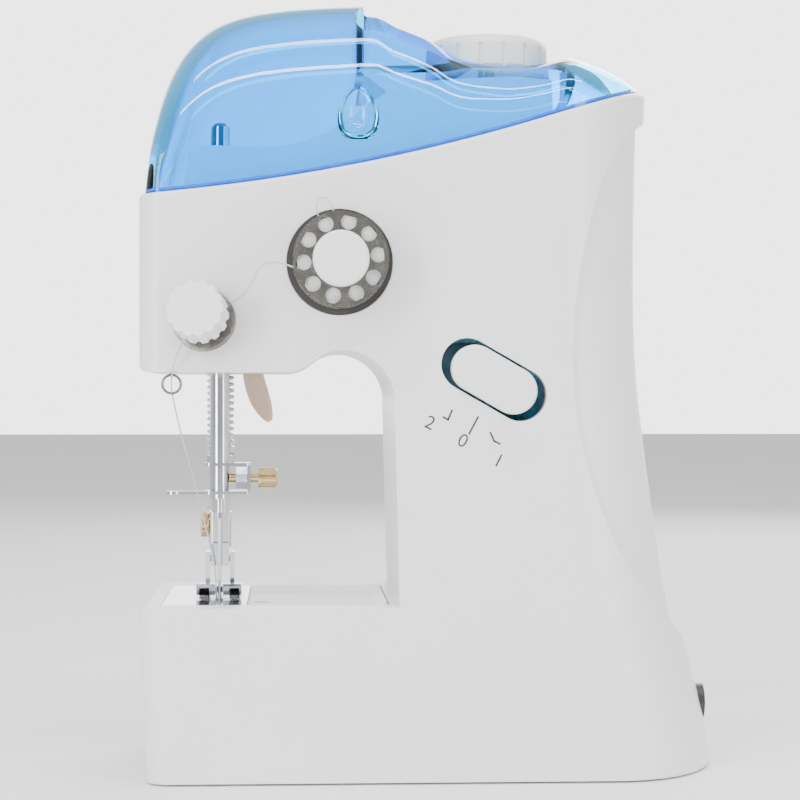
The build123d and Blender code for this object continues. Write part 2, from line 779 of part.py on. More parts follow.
with BuildPart() as drive_gears:
    with BuildSketch(Plane((wheel_x, drive_y, spur_z))):
        Polygon(*gear_points(spur_teeth, spur_module), align=None)
    extrude(amount=spur_width)
    rod(wheel_x, drive_y, spur_z - 1.5, spur_z + spur_width + 1.5, 4.0)
    bevel_sections(Plane((wheel_x, drive_y, arm_shaft_z - bevel_radius)), bevel_teeth, bevel_face / bevel_radius, bevel_face)
    rod(wheel_x, drive_y, arm_shaft_z - bevel_radius - 3, arm_shaft_z - bevel_radius, 4.0)
    lower_face = Plane(origin=(wheel_x, drive_y, lower_shaft_z + bevel_radius), x_dir=(1, 0, 0), z_dir=(0, 0, -1))
    bevel_sections(lower_face, bevel_teeth, bevel_face / bevel_radius, bevel_face)
    rod(wheel_x, drive_y, lower_shaft_z + bevel_radius, lower_shaft_z + bevel_radius + 3, 4.0)
    with Locations((wheel_x, drive_y, 80)):
        Cylinder(shaft_radius, 160, mode=Mode.SUBTRACT)
save(drive_gears, "drive_gears")

with BuildPart() as arm_shaft:
    cross_rod(crank_x + 1.4, wheel_x - bevel_radius + bevel_face, drive_y, arm_shaft_z, shaft_radius)
save(arm_shaft, "arm_shaft")

half_tooth = 180 / bevel_teeth
arm_face = Plane(origin=(wheel_x - bevel_radius, drive_y, arm_shaft_z), x_dir=(0, 1, 0), z_dir=(1, 0, 0))
with BuildPart() as arm_bevel:
    bevel_sections(arm_face, bevel_teeth, bevel_face / bevel_radius, bevel_face, half_tooth)
    cross_rod(wheel_x - bevel_radius - 2.5, wheel_x - bevel_radius, drive_y, arm_shaft_z, 4.0)
    cross_rod(0, 20, drive_y, arm_shaft_z, shaft_radius, Mode.SUBTRACT)
save(arm_bevel, "arm_bevel")

crank_disc_radius = 10.5
pin_radius = 1.2
yoke_gap = 0.4
yoke_x = (needle_x - 1.6, needle_x + 1.6)
with BuildPart() as crank_disc:
    cross_rod(crank_x - 1.4, crank_x + 1.4, drive_y, arm_shaft_z, crank_disc_radius)
    with Locations((crank_x, drive_y, arm_shaft_z + 9.5)):
        Box(6, 14, 10, mode=Mode.SUBTRACT)
    cross_rod(crank_x - 1.4, crank_x + 3.4, drive_y, arm_shaft_z, 4.0)
    cross_rod(crank_x + 1.4, crank_x + 4, drive_y, arm_shaft_z, shaft_radius, Mode.SUBTRACT)
    cross_rod(needle_x + needle_bar_radius + 1.1 + yoke_gap, crank_x, drive_y, arm_shaft_z - crank_radius, pin_radius)
save(crank_disc, "crank_disc")

drive_gear_x = hook_x + hook_gear_radius
with BuildPart() as lower_shaft:
    cross_rod(drive_gear_x - hook_face / 2, wheel_x - bevel_radius + bevel_face, drive_y, lower_shaft_z, shaft_radius)
save(lower_shaft, "lower_shaft")

lower_in_face = Plane(origin=(wheel_x - bevel_radius, drive_y, lower_shaft_z), x_dir=(0, 1, 0), z_dir=(1, 0, 0))
lower_out_face = Plane(origin=(drive_gear_x, drive_y, lower_shaft_z), x_dir=(0, 1, 0), z_dir=(-1, 0, 0))
drive_face = hook_face * hook_gear_radius / bevel_radius
with BuildPart() as lower_gears:
    bevel_sections(lower_in_face, bevel_teeth, bevel_face / bevel_radius, bevel_face, half_tooth)
    cross_rod(wheel_x - bevel_radius - 2.5, wheel_x - bevel_radius, drive_y, lower_shaft_z, 4.0)
    bevel_sections(lower_out_face, bevel_teeth, drive_face / hook_gear_radius, drive_face, half_tooth)
    cross_rod(drive_gear_x, drive_gear_x + 2.5, drive_y, lower_shaft_z, 4.0)
    cross_rod(-60, 30, drive_y, lower_shaft_z, shaft_radius, Mode.SUBTRACT)
save(lower_gears, "lower_gears")

# ---- rotary hook, bobbin case and lower bobbin ----
hook_radius = 13.0
hook_floor_z = hook_shelf[1] + 0.6
hook_top_z = 34.4
hook_wall = 1.0
case_gap = 0.35
case_radius = hook_radius - hook_wall - case_gap
case_wall = 0.9
case_floor_z = hook_floor_z + 1.2 + case_gap
hook_gear_z = lower_shaft_z + bevel_radius + 0.2
with BuildPart() as hook:
    rod(hook_x, drive_y, hook_floor_z, hook_top_z, hook_radius)
    with Locations((hook_x, drive_y, (hook_floor_z + 1.2 + 40) / 2)):
        Cylinder(hook_radius - hook_wall, 40 - hook_floor_z - 1.2, mode=Mode.SUBTRACT)
    with Locations((hook_x + hook_radius, drive_y - 4, hook_top_z)):
        Box(8, 6, 7, rotation=(0, 25, 0), mode=Mode.SUBTRACT)
    rod(hook_x, drive_y, hook_gear_z, hook_floor_z, shaft_radius)
save(hook, "hook")

hook_face_plane = Plane(origin=(hook_x, drive_y, hook_gear_z), x_dir=(1, 0, 0), z_dir=(0, 0, -1))
with BuildPart() as hook_gear:
    bevel_sections(hook_face_plane, hook_teeth, hook_face / bevel_radius, hook_face)
save(hook_gear, "hook_gear")

with BuildPart() as bobbin_case:
    rod(hook_x, drive_y, case_floor_z, 35.4, case_radius)
    rod(hook_x, drive_y, hook_top_z + case_gap, 35.4, hook_radius - 0.3)
    with Locations((hook_x, drive_y, case_floor_z + 0.8 + 10)):
        Cylinder(case_radius - case_wall, 20, mode=Mode.SUBTRACT)
    slab((hook_x - 3, hook_x + 3), (8.6, 20), (hook_top_z + case_gap, 35.4))
    with Locations((hook_x, drive_y, case_floor_z + 0.8 + 10)):
        Cylinder(case_radius - case_wall, 20, mode=Mode.SUBTRACT)
save(bobbin_case, "bobbin_case")

lower_bobbin_z = case_floor_z + 0.8 + 0.3


def bobbin_shape(place, name):
    """Metal bobbin standing on a plane: two pierced flanges and a sleeve."""
    with BuildPart() as bobbin:
        for start in (0, bobbin_height - 0.6):
            with BuildSketch(place.offset(start)):
                Circle(bobbin_radius)
                Circle(bobbin_bore, mode=Mode.SUBTRACT)
                with PolarLocations(7.9, 10, start_angle=78):
                    Circle(1.65, mode=Mode.SUBTRACT)
            extrude(amount=0.6)
        with BuildSketch(place):
            Circle(bobbin_bore + 0.6)
            Circle(bobbin_bore, mode=Mode.SUBTRACT)
        extrude(amount=bobbin_height)
    save(bobbin, name)


bobbin_shape(Plane((hook_x, drive_y, lower_bobbin_z)), "lower_bobbin")

# ---- motor ----
pinion_low = spur_z - 0.6
motor_top = spur_z - 4.6
with BuildPart() as motor_can:
    rod(motor_x, drive_y, motor_top - motor_length, motor_top, motor_radius)
    fillet(motor_can.edges().filter_by(GeomType.CIRCLE), 1.0)
    for side in (-1, 1):
        slab_y = (drive_depth + side * (motor_radius + 0.5) - 1.2, drive_depth + side * (motor_radius + 0.5) + 1.2)
        slab((motor_x - 8, motor_x + 8), slab_y, (motor_top - 40, motor_top + 5), mode=Mode.SUBTRACT)
    with Locations((motor_x, drive_y, motor_top)):
        Cylinder(1.0 + shaft_fit, 24, mode=Mode.SUBTRACT)
save(motor_can, "motor_can")

with BuildPart() as motor_rotor:
    rod(motor_x, drive_y, motor_top - 8, pinion_low + spur_width + 1.2, 1.0)
    with BuildSketch(Plane((motor_x, drive_y, pinion_low))):
        Polygon(*gear_points(pinion_teeth, spur_module, 1.0, 180 / pinion_teeth), align=None)
    extrude(amount=spur_width + 1.2)
save(motor_rotor, "motor_rotor")

# ---- needle bar set ----
clamp_low_z = 61.7
clamp_high_z = 68.8
clamp_sheet = 0.7
clamp_left = -51.2
clamp_right = -40.9
guide_finger_left = -59.8
needle_radius = 0.42
shank_radius = 1.0
with BuildPart() as needle_bar:
    rod(needle_x, drive_y, needle_bar_bottom_z, needle_bar_top_z, needle_bar_radius)
    chamfer(needle_bar.faces().sort_by(Axis.Z)[-1].edges(), 0.8)
    with Locations((needle_x, drive_y, needle_bar_bottom_z)):
        Cylinder(shank_radius, 14, mode=Mode.SUBTRACT)
save(needle_bar, "needle_bar")

yoke_z = arm_shaft_z - crank_radius
with BuildPart() as needle_yoke:
    with Locations((needle_x, drive_y, yoke_z)):
        Box(yoke_x[1] - yoke_x[0], 23, 7)
        Cylinder(needle_bar_radius + 1.1, 7)
        Box(yoke_x[1] - yoke_x[0] + 2, 19.4, 2 * pin_radius + 0.5, mode=Mode.SUBTRACT)
        Cylinder(needle_bar_radius + 1.1, 7)
        Cylinder(needle_bar_radius, 10, mode=Mode.SUBTRACT)
save(needle_yoke, "needle_yoke")

with BuildPart() as clamp_bracket:
    for low in (clamp_low_z, clamp_high_z - clamp_sheet):
        slab((clamp_left, clamp_right), (drive_depth - 3.4, drive_depth + 3.4), (low, low + clamp_sheet))
    fillet(clamp_bracket.edges().filter_by(Axis.Z), 1.2)
    slab((clamp_right - clamp_sheet, clamp_right), (drive_depth - 2.6, drive_depth + 2.6), (clamp_low_z, clamp_high_z))
    slab((guide_finger_left, clamp_left + 2), (drive_depth - 3.2, drive_depth - 1.2), (clamp_low_z, clamp_low_z + clamp_sheet))
    with Locations((guide_finger_left + 1.4, face_y + drive_depth - 2.2, clamp_low_z)):
        Cylinder(1.7, 2 * clamp_sheet)
        Cylinder(0.6, 4, mode=Mode.SUBTRACT)
    split(bisect_by=Plane.XY.offset(clamp_low_z), keep=Keep.TOP)
    with Locations((needle_x, drive_y, clamp_low_z)):
        Cylinder(needle_bar_radius, 40, mode=Mode.SUBTRACT)
    cross_rod(clamp_right - 3, clamp_right + 1, drive_y, 65.3, 1.1, Mode.SUBTRACT)
save(clamp_bracket, "clamp_bracket")

clamp_screw_z = 65.3
nut_x = (clamp_right - clamp_sheet - 2.6, clamp_right - clamp_sheet - 0.05)
with BuildPart() as clamp_nut:
    with BuildSketch(Plane(origin=(nut_x[0], drive_y, clamp_screw_z), x_dir=(0, 1, 0), z_dir=(1, 0, 0))):
        RegularPolygon(2.75, 6)
        Circle(1.1, mode=Mode.SUBTRACT)
    extrude(amount=nut_x[1] - nut_x[0])
save(clamp_nut, "clamp_nut")

flutes = 16
thumb_radius = 2.35
thumb_x = (-39.1, -34.8)
with BuildPart() as clamp_screw:
    cross_rod(needle_x + needle_bar_radius + 0.1, thumb_x[0], drive_y, clamp_screw_z, 1.1 - shaft_fit)
    cross_rod(thumb_x[0], thumb_x[1], drive_y, clamp_screw_z, thumb_radius)
    chamfer(clamp_screw.faces().sort_by(Axis.X)[-1].edges(), 0.4)
    with BuildSketch(Plane(origin=(thumb_x[0] + 0.6, drive_y, clamp_screw_z), x_dir=(0, 1, 0), z_dir=(1, 0, 0))):
        with PolarLocations(thumb_radius + 0.1, flutes):
            Circle(0.28)
    extrude(amount=10, mode=Mode.SUBTRACT)
    slab((thumb_x[1] - 0.8, thumb_x[1] + 1), (drive_depth - 0.3, drive_depth + 0.3), (60, 70), Mode.SUBTRACT)
save(clamp_screw, "clamp_screw")

with BuildPart() as needle:
    rod(needle_x, drive_y, needle_bar_bottom_z - 3.2, needle_bar_bottom_z + 7, shank_radius)
    with Locations((needle_x, drive_y, needle_bar_bottom_z - 3.9)):
        Cone(needle_radius, shank_radius, 1.4)
    rod(needle_x, drive_y, needle_tip_z + 3, needle_bar_bottom_z - 4.6, needle_radius)
    with Locations((needle_x, drive_y, needle_tip_z + 1.5)):
        Cone(0.08, needle_radius, 3)
    with Locations((needle_x, drive_y, needle_tip_z + 4.4)):
        Box(0.32, 4, 1.3, mode=Mode.SUBTRACT)
save(needle, "needle")

# ---- presser bar set ----
with BuildPart() as presser_bar:
    rod(needle_x, presser_y, presser_bar_bottom_z, presser_bar_top_z, presser_bar_radius)
    chamfer(presser_bar.faces().sort_by(Axis.Z)[-1].edges(), 0.4)
save(presser_bar, "presser_bar")

spring_turns = 14
spring_wire = 0.42
spring_radius = 2.75
spring_low = spring_bottom_z + spring_wire
spring_high = guide_bottom_z - spring_wire - 0.05
with BuildPart() as presser_spring:
    with BuildLine():
        Helix((spring_high - spring_low) / spring_turns, spring_high - spring_low, spring_radius, center=(needle_x, presser_y, spring_low))
    with BuildSketch(Plane(origin=(needle_x + spring_radius, presser_y, spring_low), x_dir=(1, 0, 0), z_dir=(0, 1, 0))):
        Circle(spring_wire)
    sweep(is_frenet=True)
save(presser_spring, "presser_spring")

lift = 5.5
collar_low_z = 97.8
with BuildPart() as presser_collar:
    rod(needle_x, presser_y, spring_bottom_z - 2.4, spring_bottom_z, 3.2)
    rod(needle_x, presser_y, collar_low_z, collar_low_z + 3.6, 3.6)
    slab((needle_x, needle_x + 8.5), (presser_depth - 1.6, 45.4), (collar_low_z, collar_low_z + 2.2))
    with Locations((needle_x, presser_y, 85)):
        Cylinder(presser_bar_radius, 60, mode=Mode.SUBTRACT)
save(presser_collar, "presser_collar")

shank_low_z = 45.0
shank_x = (needle_x - 2.0, needle_x + 2.0)
pivot_z = 46.6
with BuildPart() as foot_shank:
    slab((shank_x[0] - 0.6, shank_x[1] + 0.6), (presser_depth - 2.8, presser_depth + 2.8), (presser_bar_bottom_z - 0.4, 57.2))
    fillet(foot_shank.edges().filter_by(Axis.Z), 1.0)
    slab(shank_x, (presser_depth - 5.0, presser_depth + 1.5), (shank_low_z, 50.2))
    with Locations((needle_x, presser_y, presser_bar_bottom_z + 10)):
        Cylinder(presser_bar_radius, 20, mode=Mode.SUBTRACT)
    with Locations((needle_x, drive_y, 50)):
        Cylinder(2.6, 30, mode=Mode.SUBTRACT)
    cross_rod(needle_x - 5, needle_x + 5, presser_y - 2.6, pivot_z, 0.8 + shaft_fit, Mode.SUBTRACT)
    cross_rod(needle_x - 5, needle_x - presser_bar_radius, presser_y, 54.2, 1.0 + shaft_fit, Mode.SUBTRACT)
save(foot_shank, "foot_shank")

foot_screw_x = (-52.6, -50.7)
with BuildPart() as foot_screw:
    cross_rod(foot_screw_x[0], foot_screw_x[1], presser_y, 54.2, 2.9)
    fillet(foot_screw.edges().filter_by(GeomType.CIRCLE), 0.35)
    cross_rod(foot_screw_x[1], needle_x - presser_bar_radius - 0.1, presser_y, 54.2, 1.0)
    slab((foot_screw_x[0] - 1, foot_screw_x[0] + 0.6), (presser_depth - 0.4, presser_depth + 0.4), (50, 60), Mode.SUBTRACT)
save(foot_screw, "foot_screw")

foot_half_width = 5.1
ear = 1.0
with BuildPart() as presser_foot:
    with BuildSketch(Plane(origin=(needle_x - foot_half_width, 0, 0), x_dir=(0, 1, 0), z_dir=(1, 0, 0))):
        with BuildLine():
            sole = Polyline(
                (face_y + 25.6, foot_sole_z + 1.6),
                (face_y + 24.6, foot_sole_z + 2.6),
                (face_y + 24.0, foot_sole_z + 2.1),
                (face_y + 25.6, foot_sole_z),
                (face_y + 41.0, foot_sole_z),
                (face_y + 42.2, foot_sole_z + 1.4),
            )
            Line(sole @ 1, sole @ 0)
        make_face()
    extrude(amount=2 * foot_half_width)
    for side in (-1, 1):
        inner = needle_x + side * (shank_x[1] - needle_x + 0.3)
        outer = inner + side * ear
        slab((min(inner, outer), max(inner, outer)), (32.8, 38.4), (foot_sole_z + 0.8, pivot_z + 1.6))
    cross_rod(needle_x - 3.3, needle_x + 3.3, presser_y - 2.6, pivot_z, 0.8)
    slab((needle_x - 0.9, needle_x + 0.9), (20, 31.2), (foot_sole_z - 2, foot_sole_z + 8), Mode.SUBTRACT)
    with Locations((needle_x, drive_y, foot_sole_z)):
        Cylinder(1.6, 14, mode=Mode.SUBTRACT)
save(presser_foot, "presser_foot")

# ---- presser lifter ----
lever_pivot = (-41.0, 94.2)
lever_hub = 2.4
with BuildPart() as lifter_lever:
    with BuildSketch(Plane(origin=(0, face_y + lever_depths[1] - 0.6, 0), x_dir=(1, 0, 0), z_dir=(0, -1, 0))):
        with BuildLine():
            Spline((-43.3, 94.2), (-42.4, 85.6), (-40.2, 80.6), (-37.9, 78.2))
            RadiusArc((-37.9, 78.2), (-36.0, 79.0), -1.1)
            Spline((-36.0, 79.0), (-36.5, 83.2), (-37.9, 88.0), (-38.7, 94.2))
            Line((-38.7, 94.2), (-43.3, 94.2))
        make_face()
    extrude(amount=lever_depths[1] - lever_depths[0] - 1.2)
    fillet(lifter_lever.edges().filter_by(Axis.Y, reverse=True), 0.7)
    deep_rod(lever_pivot[0], lever_depths[0] + 0.6, lever_depths[1] - 0.6, lever_pivot[1], lever_hub)
    deep_rod(lever_pivot[0], lever_depths[0] - 1.2, lever_depths[0] + 0.6, lever_pivot[1], lever_hub)
    deep_rod(lever_pivot[0], lever_depths[0] - 3, lever_depths[1] + 1, lever_pivot[1], 1.1 + shaft_fit, Mode.SUBTRACT)
save(lifter_lever, "lifter_lever")

with BuildPart() as lever_pin:
    deep_rod(lever_pivot[0], lever_depths[0] - 1.0, case_depth - wall - grip_inset, lever_pivot[1], 1.1)
save(lever_pin, "lever_pin")

# ---- feed dog ----
dog_top_z = bed_z + 0.3
carrier_top_z = plate_bottom - 0.25
carrier_bottom_z = 35.75
with BuildPart() as feed_dog:
    slab((dog_bar_places[0] - 5, dog_bar_places[1] + 0.8), (dog_depths[0] + 7.5, dog_depths[1]), (carrier_bottom_z, carrier_top_z))
    for bar_x in dog_bar_places:
        slab((bar_x - dog_bar_width / 2, bar_x + dog_bar_width / 2), dog_depths, (carrier_top_z - 0.8, dog_top_z))
        for tooth in range(11):
            slab(
                (bar_x - dog_bar_width, bar_x + dog_bar_width),
                (dog_depths[0] + 0.5 + 1.25 * tooth, dog_depths[0] + 1.0 + 1.25 * tooth),
                (dog_top_z - 0.5, dog_top_z + 1),
                mode=Mode.SUBTRACT,
            )
    slab((dog_bar_places[0] - 5, dog_bar_places[0] - 2.6), (dog_depths[0] + 7.5, dog_depths[1]), (22, carrier_top_z))
save(feed_dog, "feed_dog")

# ---- spool spindle, washer, bobbin, thread and cap ----
washer_radius = 11.4
bobbin_back = -1.0
bobbin_front = bobbin_back - bobbin_height
spool_plane = Plane(origin=(spool_x, face_y + bobbin_back, spool_z), x_dir=(1, 0, 0), z_dir=(0, -1, 0))
with BuildPart() as spool_washer:
    deep_rod(spool_x, -0.6, 0.8, spool_z, washer_radius)
    deep_rod(spool_x, -2, 2, spool_z, 2.6, Mode.SUBTRACT)
save(spool_washer, "spool_washer")

with BuildPart() as spool_spindle:
    deep_rod(spool_x, bobbin_front - 0.4, wall + grip_inset + 2, spool_z, 2.6)
    deep_rod(spool_x, wall + grip_inset + 0.2, wall + grip_inset + 2, spool_z, 4.2)
save(spool_spindle, "spool_spindle")

bobbin_shape(spool_plane, "front_bobbin")

with BuildPart() as bobbin_winding:
    deep_rod(spool_x, bobbin_front + 0.65, bobbin_back - 0.65, spool_z, bobbin_radius - 0.9)
    deep_rod(spool_x, bobbin_front - 1, bobbin_back + 1, spool_z, bobbin_bore + 0.6, Mode.SUBTRACT)
save(bobbin_winding, "bobbin_winding")

cap_radius = 5.95
with BuildPart() as spool_cap:
    deep_rod(spool_x, -front_reach, bobbin_front - 0.4, spool_z, cap_radius)
    fillet(spool_cap.faces().sort_by(Axis.Y)[0].edges(), 0.9)
save(spool_cap, "spool_cap")

# ---- thread tension set, on a post that leans up and to the left ----
lean_way = Vector(-0.6, 0, 0.8)
lean = math.radians(tension_tilt)
post_way = Vector(0, -1, 0) * math.cos(lean) + lean_way * math.sin(lean)
post_foot = Vector(tension_x, face_y, tension_z)


def post_plane(along):
    """Plane across the tension post, at a distance from the front face."""
    return Plane(origin=post_foot + post_way * along, x_dir=(1, 0, 0.75), z_dir=post_way)


knob_back = knob_face - knob_thickness
with BuildPart() as tension_post:
    with BuildSketch(post_plane(-3.0)):
        Circle(1.6)
    extrude(amount=knob_face + 1.0)
    deep_rod(tension_x, 0.1, wall + grip_inset, tension_z, 2.6)
save(tension_post, "tension_post")

with BuildPart() as tension_discs:
    for along, radius, thick in ((2.0, 6.8, 0.8), (3.2, 6.8, 0.6)):
        with BuildSketch(post_plane(along)):
            Circle(radius)
            Circle(1.6, mode=Mode.SUBTRACT)
        extrude(amount=thick)
save(tension_discs, "tension_discs")

with BuildPart() as tension_spring:
    for turn in range(3):
        with BuildSketch(post_plane(4.3 + 0.75 * turn)):
            Circle(3.6 - 0.4 * turn)
            Circle(2.6 - 0.4 * turn, mode=Mode.SUBTRACT)
        extrude(amount=0.7)
save(tension_spring, "tension_spring")

knob_scallops = 14
with BuildPart() as tension_knob:
    with BuildSketch(post_plane(knob_back)):
        Circle(knob_radius)
        with PolarLocations(knob_radius + 0.25, knob_scallops):
            Circle(0.75, mode=Mode.SUBTRACT)
    extrude(amount=knob_thickness)
    with BuildSketch(post_plane(knob_back)):
        Circle(1.6 + shaft_fit)
    extrude(amount=knob_thickness - 1.6, mode=Mode.SUBTRACT)
save(tension_knob, "tension_knob")

# ---- wire thread guide below the arm ----
guide_ring_radius = 2.0
guide_wire = 0.3
ring_x = needle_x - 9.6
ring_z = 86.6
with BuildPart() as thread_guide:
    wire_place = (ring_x + guide_ring_radius, face_y + 5.6, ring_z)
    with BuildSketch(Plane(origin=wire_place, x_dir=(1, 0, 0), z_dir=(0, 0, 1))):
        Circle(guide_wire)
    revolve(axis=Axis((ring_x, face_y + 5.6, ring_z), (0, 1, 0)), revolution_arc=360)
    rod(ring_x, face_y + 5.6, ring_z + guide_ring_radius - 0.1, arm_bottom_z + wall + 1.5, guide_wire)
save(thread_guide, "thread_guide")

# ---- switch slider ----
with BuildPart() as switch_slider:
    with BuildSketch(switch_place.offset(-wall - 0.3)):
        SlotCenterToCenter(slider_centres, 2 * slider_radius)
    extrude(amount=wall + 0.3 + 1.6)
    fillet(switch_slider.faces().sort_by(Axis.Y)[0].edges(), 0.9)
    with BuildSketch(switch_place.offset(-wall - grip_inset - 2.3)):
        SlotCenterToCenter(slider_centres - 3, 2 * slider_radius - 3)
    extrude(amount=grip_inset + 2.0)
save(switch_slider, "switch_slider")

# ---- batteries and sockets ----
with BuildPart() as battery_cells:
    for cell_x in (-59.0, -8.0):
        for cell_z in (base_bottom + base_thickness + 0.3 + cell_radius, base_bottom + base_thickness + 0.8 + 3 * cell_radius):
            cross_rod(cell_x, cell_x + cell_length - 1.5, face_y + cell_depth, cell_z, cell_radius)
            cross_rod(cell_x + cell_length - 1.5, cell_x + cell_length, face_y + cell_depth, cell_z, 2.7)
save(battery_cells, "battery_cells")

socket_bores = {"dc_jack": (-6.5, 2.9), "pedal_jack": (6.5, 1.8)}
socket_depth = 10.0
for socket, (shift, bore) in socket_bores.items():
    with BuildPart() as jack:
        jack_depths = (half_depth + shift - 5, half_depth + shift + 5)
        cross_rod(jack_x - 8, jack_x, mid_y + shift, jack_z, 4.0)
        slab((jack_x - 14, jack_x - 7.4), jack_depths, (jack_z - 5.5, jack_z + 5.5))
        cross_rod(jack_x - socket_depth, jack_x + 1, mid_y + shift, jack_z, bore, Mode.SUBTRACT)
    save(jack, socket)

# ---- thread: from the front bobbin through the tension discs and the guide to the needle ----
thread_radius = 0.17
upper_route = [
    (-30.5, -6.5, 111.2),
    (-33.4, -6.3, 112.3),
    (-36.4, -5.9, 112.6),
    (-38.8, -5.4, 111.2),
    (-39.7, -4.9, 108.6),
    (-41.3, -4.1, 106.2),
    (-43.6, -3.1, 104.4),
    (-46.5, -3.0, 103.0),
    (-49.6, -2.5, 102.8),
    (-52.4, -2.3, 101.3),
    (-53.7, -2.8, 98.4),
    (-55.1, -3.2, 94.9),
    (-57.0, -1.6, 90.4),
    (-57.5, 2.2, 87.0),
    (-57.6, 5.6, 84.95),
]
needle_route = [
    (-57.6, 6.05, 84.95),
    (-56.3, 12.0, 77.0),
    (-54.5, 20.0, 69.4),
    (-52.8, 26.0, 62.0),
    (-51.6, 27.6, 56.0),
    (-50.0, 28.8, 50.0),
    (-48.9, 29.6, 44.0),
    (-48.7, 29.9, 38.0),
    (-48.6, 30.0, 32.9),
]


def thread(route, name):
    """Thread of one thickness along straight runs joined by wide tangent arcs."""
    points = [Vector(x, face_y + depth, z) for x, depth, z in route]
    radii = []
    for before, corner, after in zip(points, points[1:], points[2:]):
        first, second = corner - before, after - corner
        turn = math.radians(first.get_angle(second))
        radii.append(0.45 * min(first.length, second.length) / math.tan(turn / 2))
    print(name, "arc radii", [round(radius, 1) for radius in radii])
    with BuildPart() as strand:
        with BuildLine() as line:
            FilletPolyline(*points, radius=radii)
        with BuildSketch(Plane(origin=points[0], z_dir=points[1] - points[0])):
            Circle(thread_radius)
        sweep()
    drawn = line.wires()[0].length
    print(name, "length", round(drawn, 1), "volume share", strand.part.volume / (drawn * math.pi * thread_radius**2))
    save(strand, name)


thread(upper_route, "upper_thread")
thread(needle_route, "needle_thread")
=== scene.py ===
import math
import random

import bmesh
import bpy
from mathutils import Matrix, Vector


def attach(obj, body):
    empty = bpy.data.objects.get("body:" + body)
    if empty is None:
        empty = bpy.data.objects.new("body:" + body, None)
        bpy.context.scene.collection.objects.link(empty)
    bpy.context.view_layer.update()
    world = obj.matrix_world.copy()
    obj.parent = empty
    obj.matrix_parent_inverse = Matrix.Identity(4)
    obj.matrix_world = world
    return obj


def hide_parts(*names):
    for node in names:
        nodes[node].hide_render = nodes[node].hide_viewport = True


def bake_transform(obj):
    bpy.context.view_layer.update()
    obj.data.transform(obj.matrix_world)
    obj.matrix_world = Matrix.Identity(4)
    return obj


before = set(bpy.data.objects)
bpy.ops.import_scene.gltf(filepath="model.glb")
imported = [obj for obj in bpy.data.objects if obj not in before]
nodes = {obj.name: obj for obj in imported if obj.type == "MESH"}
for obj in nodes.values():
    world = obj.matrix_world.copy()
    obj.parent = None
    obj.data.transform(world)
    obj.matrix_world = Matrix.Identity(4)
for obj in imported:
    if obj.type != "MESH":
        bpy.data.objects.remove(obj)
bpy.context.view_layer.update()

mm = 0.001
faceY = -0.0264  # plane of the casing's front face
caseDepth = 0.068
midY = faceY + caseDepth / 2


def at(x, depth, z):
    # a place from millimetres along X, behind the front face, and up
    return Vector((x * mm, faceY + depth * mm, z * mm))


# camera, floor and lights
view = {"distance": 0.480, "x": -0.0315, "z": 0.08486, "lens": 100.2, "yaw": 2.78, "pitch": -0.2}
lens = bpy.data.cameras.new("viewLens")
lens.sensor_width = 36
lens.lens = view["lens"]
lens.clip_start = 0.01
camera = bpy.data.objects.new("viewCamera", lens)
camera.location = (view["x"], faceY - view["distance"], view["z"])
camera.rotation_euler = (math.radians(90 + view["pitch"]), 0, math.radians(-view["yaw"]))
bpy.context.scene.collection.objects.link(camera)
bpy.context.scene.camera = camera

lamps = {
    # name: place, aim, width, height, power
    "keySoft": ((-0.60, -0.80, 0.30), (0, 0, 0.08), 0.30, 0.70, 9.0),
    "fillSoft": ((0.80, -0.65, 0.25), (0, 0, 0.08), 0.30, 0.60, 5.0),
    "topStrip": ((0.0, -0.45, 0.75), (0, 0, 0.13), 0.95, 0.035, 4.5),
    "crownStrip": ((0.0, -0.12, 0.85), (0, 0, 0.13), 0.95, 0.05, 4.5),
    "rimSoft": ((0.35, 0.80, 0.55), (0, 0, 0.10), 0.60, 0.50, 6.0),
}
for name, (place, aim, width, height, power) in lamps.items():
    glow = bpy.data.lights.new(name, "AREA")
    glow.shape = "RECTANGLE"
    glow.size = width
    glow.size_y = height
    glow.energy = power
    lamp = bpy.data.objects.new(name, glow)
    lamp.location = place
    lamp.rotation_euler = (Vector(aim) - Vector(place)).to_track_quat("-Z", "Y").to_euler()
    bpy.context.scene.collection.objects.link(lamp)

# white behind the machine, dimmer in front of it so that bright metal has something to show
backdrop = {
    "front": (0.50, 0.51, 0.53), "behind": (1.0, 1.0, 1.0), "turn": 0.12,
    "glowFrom": 0.86, "glowTo": 0.95, "strength": 1.05, "glow": 3.6,
}
sky = bpy.data.worlds.new("studioSky")
sky.use_nodes = True
skyTree = sky.node_tree
skyWay = skyTree.nodes.new("ShaderNodeTexCoord")
skySplit = skyTree.nodes.new("ShaderNodeSeparateXYZ")
skyShade = skyTree.nodes.new("ShaderNodeValToRGB")
skyPower = skyTree.nodes.new("ShaderNodeMapRange")
skyTree.links.new(skyWay.outputs["Generated"], skySplit.inputs[0])
skyTree.links.new(skySplit.outputs["Y"], skyShade.inputs[0])
skyTree.links.new(skySplit.outputs["Y"], skyPower.inputs[0])
for element, position, colour in zip(
        skyShade.color_ramp.elements, (0.0, backdrop["turn"]), (backdrop["front"], backdrop["behind"])):
    element.position = position
    element.color = (*colour, 1)
for socket, key in zip(list(skyPower.inputs)[1:5], ("glowFrom", "glowTo", "strength", "glow")):
    socket.default_value = backdrop[key]
skyTree.links.new(skyShade.outputs[0], skyTree.nodes["Background"].inputs["Color"])
skyTree.links.new(skyPower.outputs[0], skyTree.nodes["Background"].inputs["Strength"])
bpy.context.scene.world = sky
print("camera and lights ready")


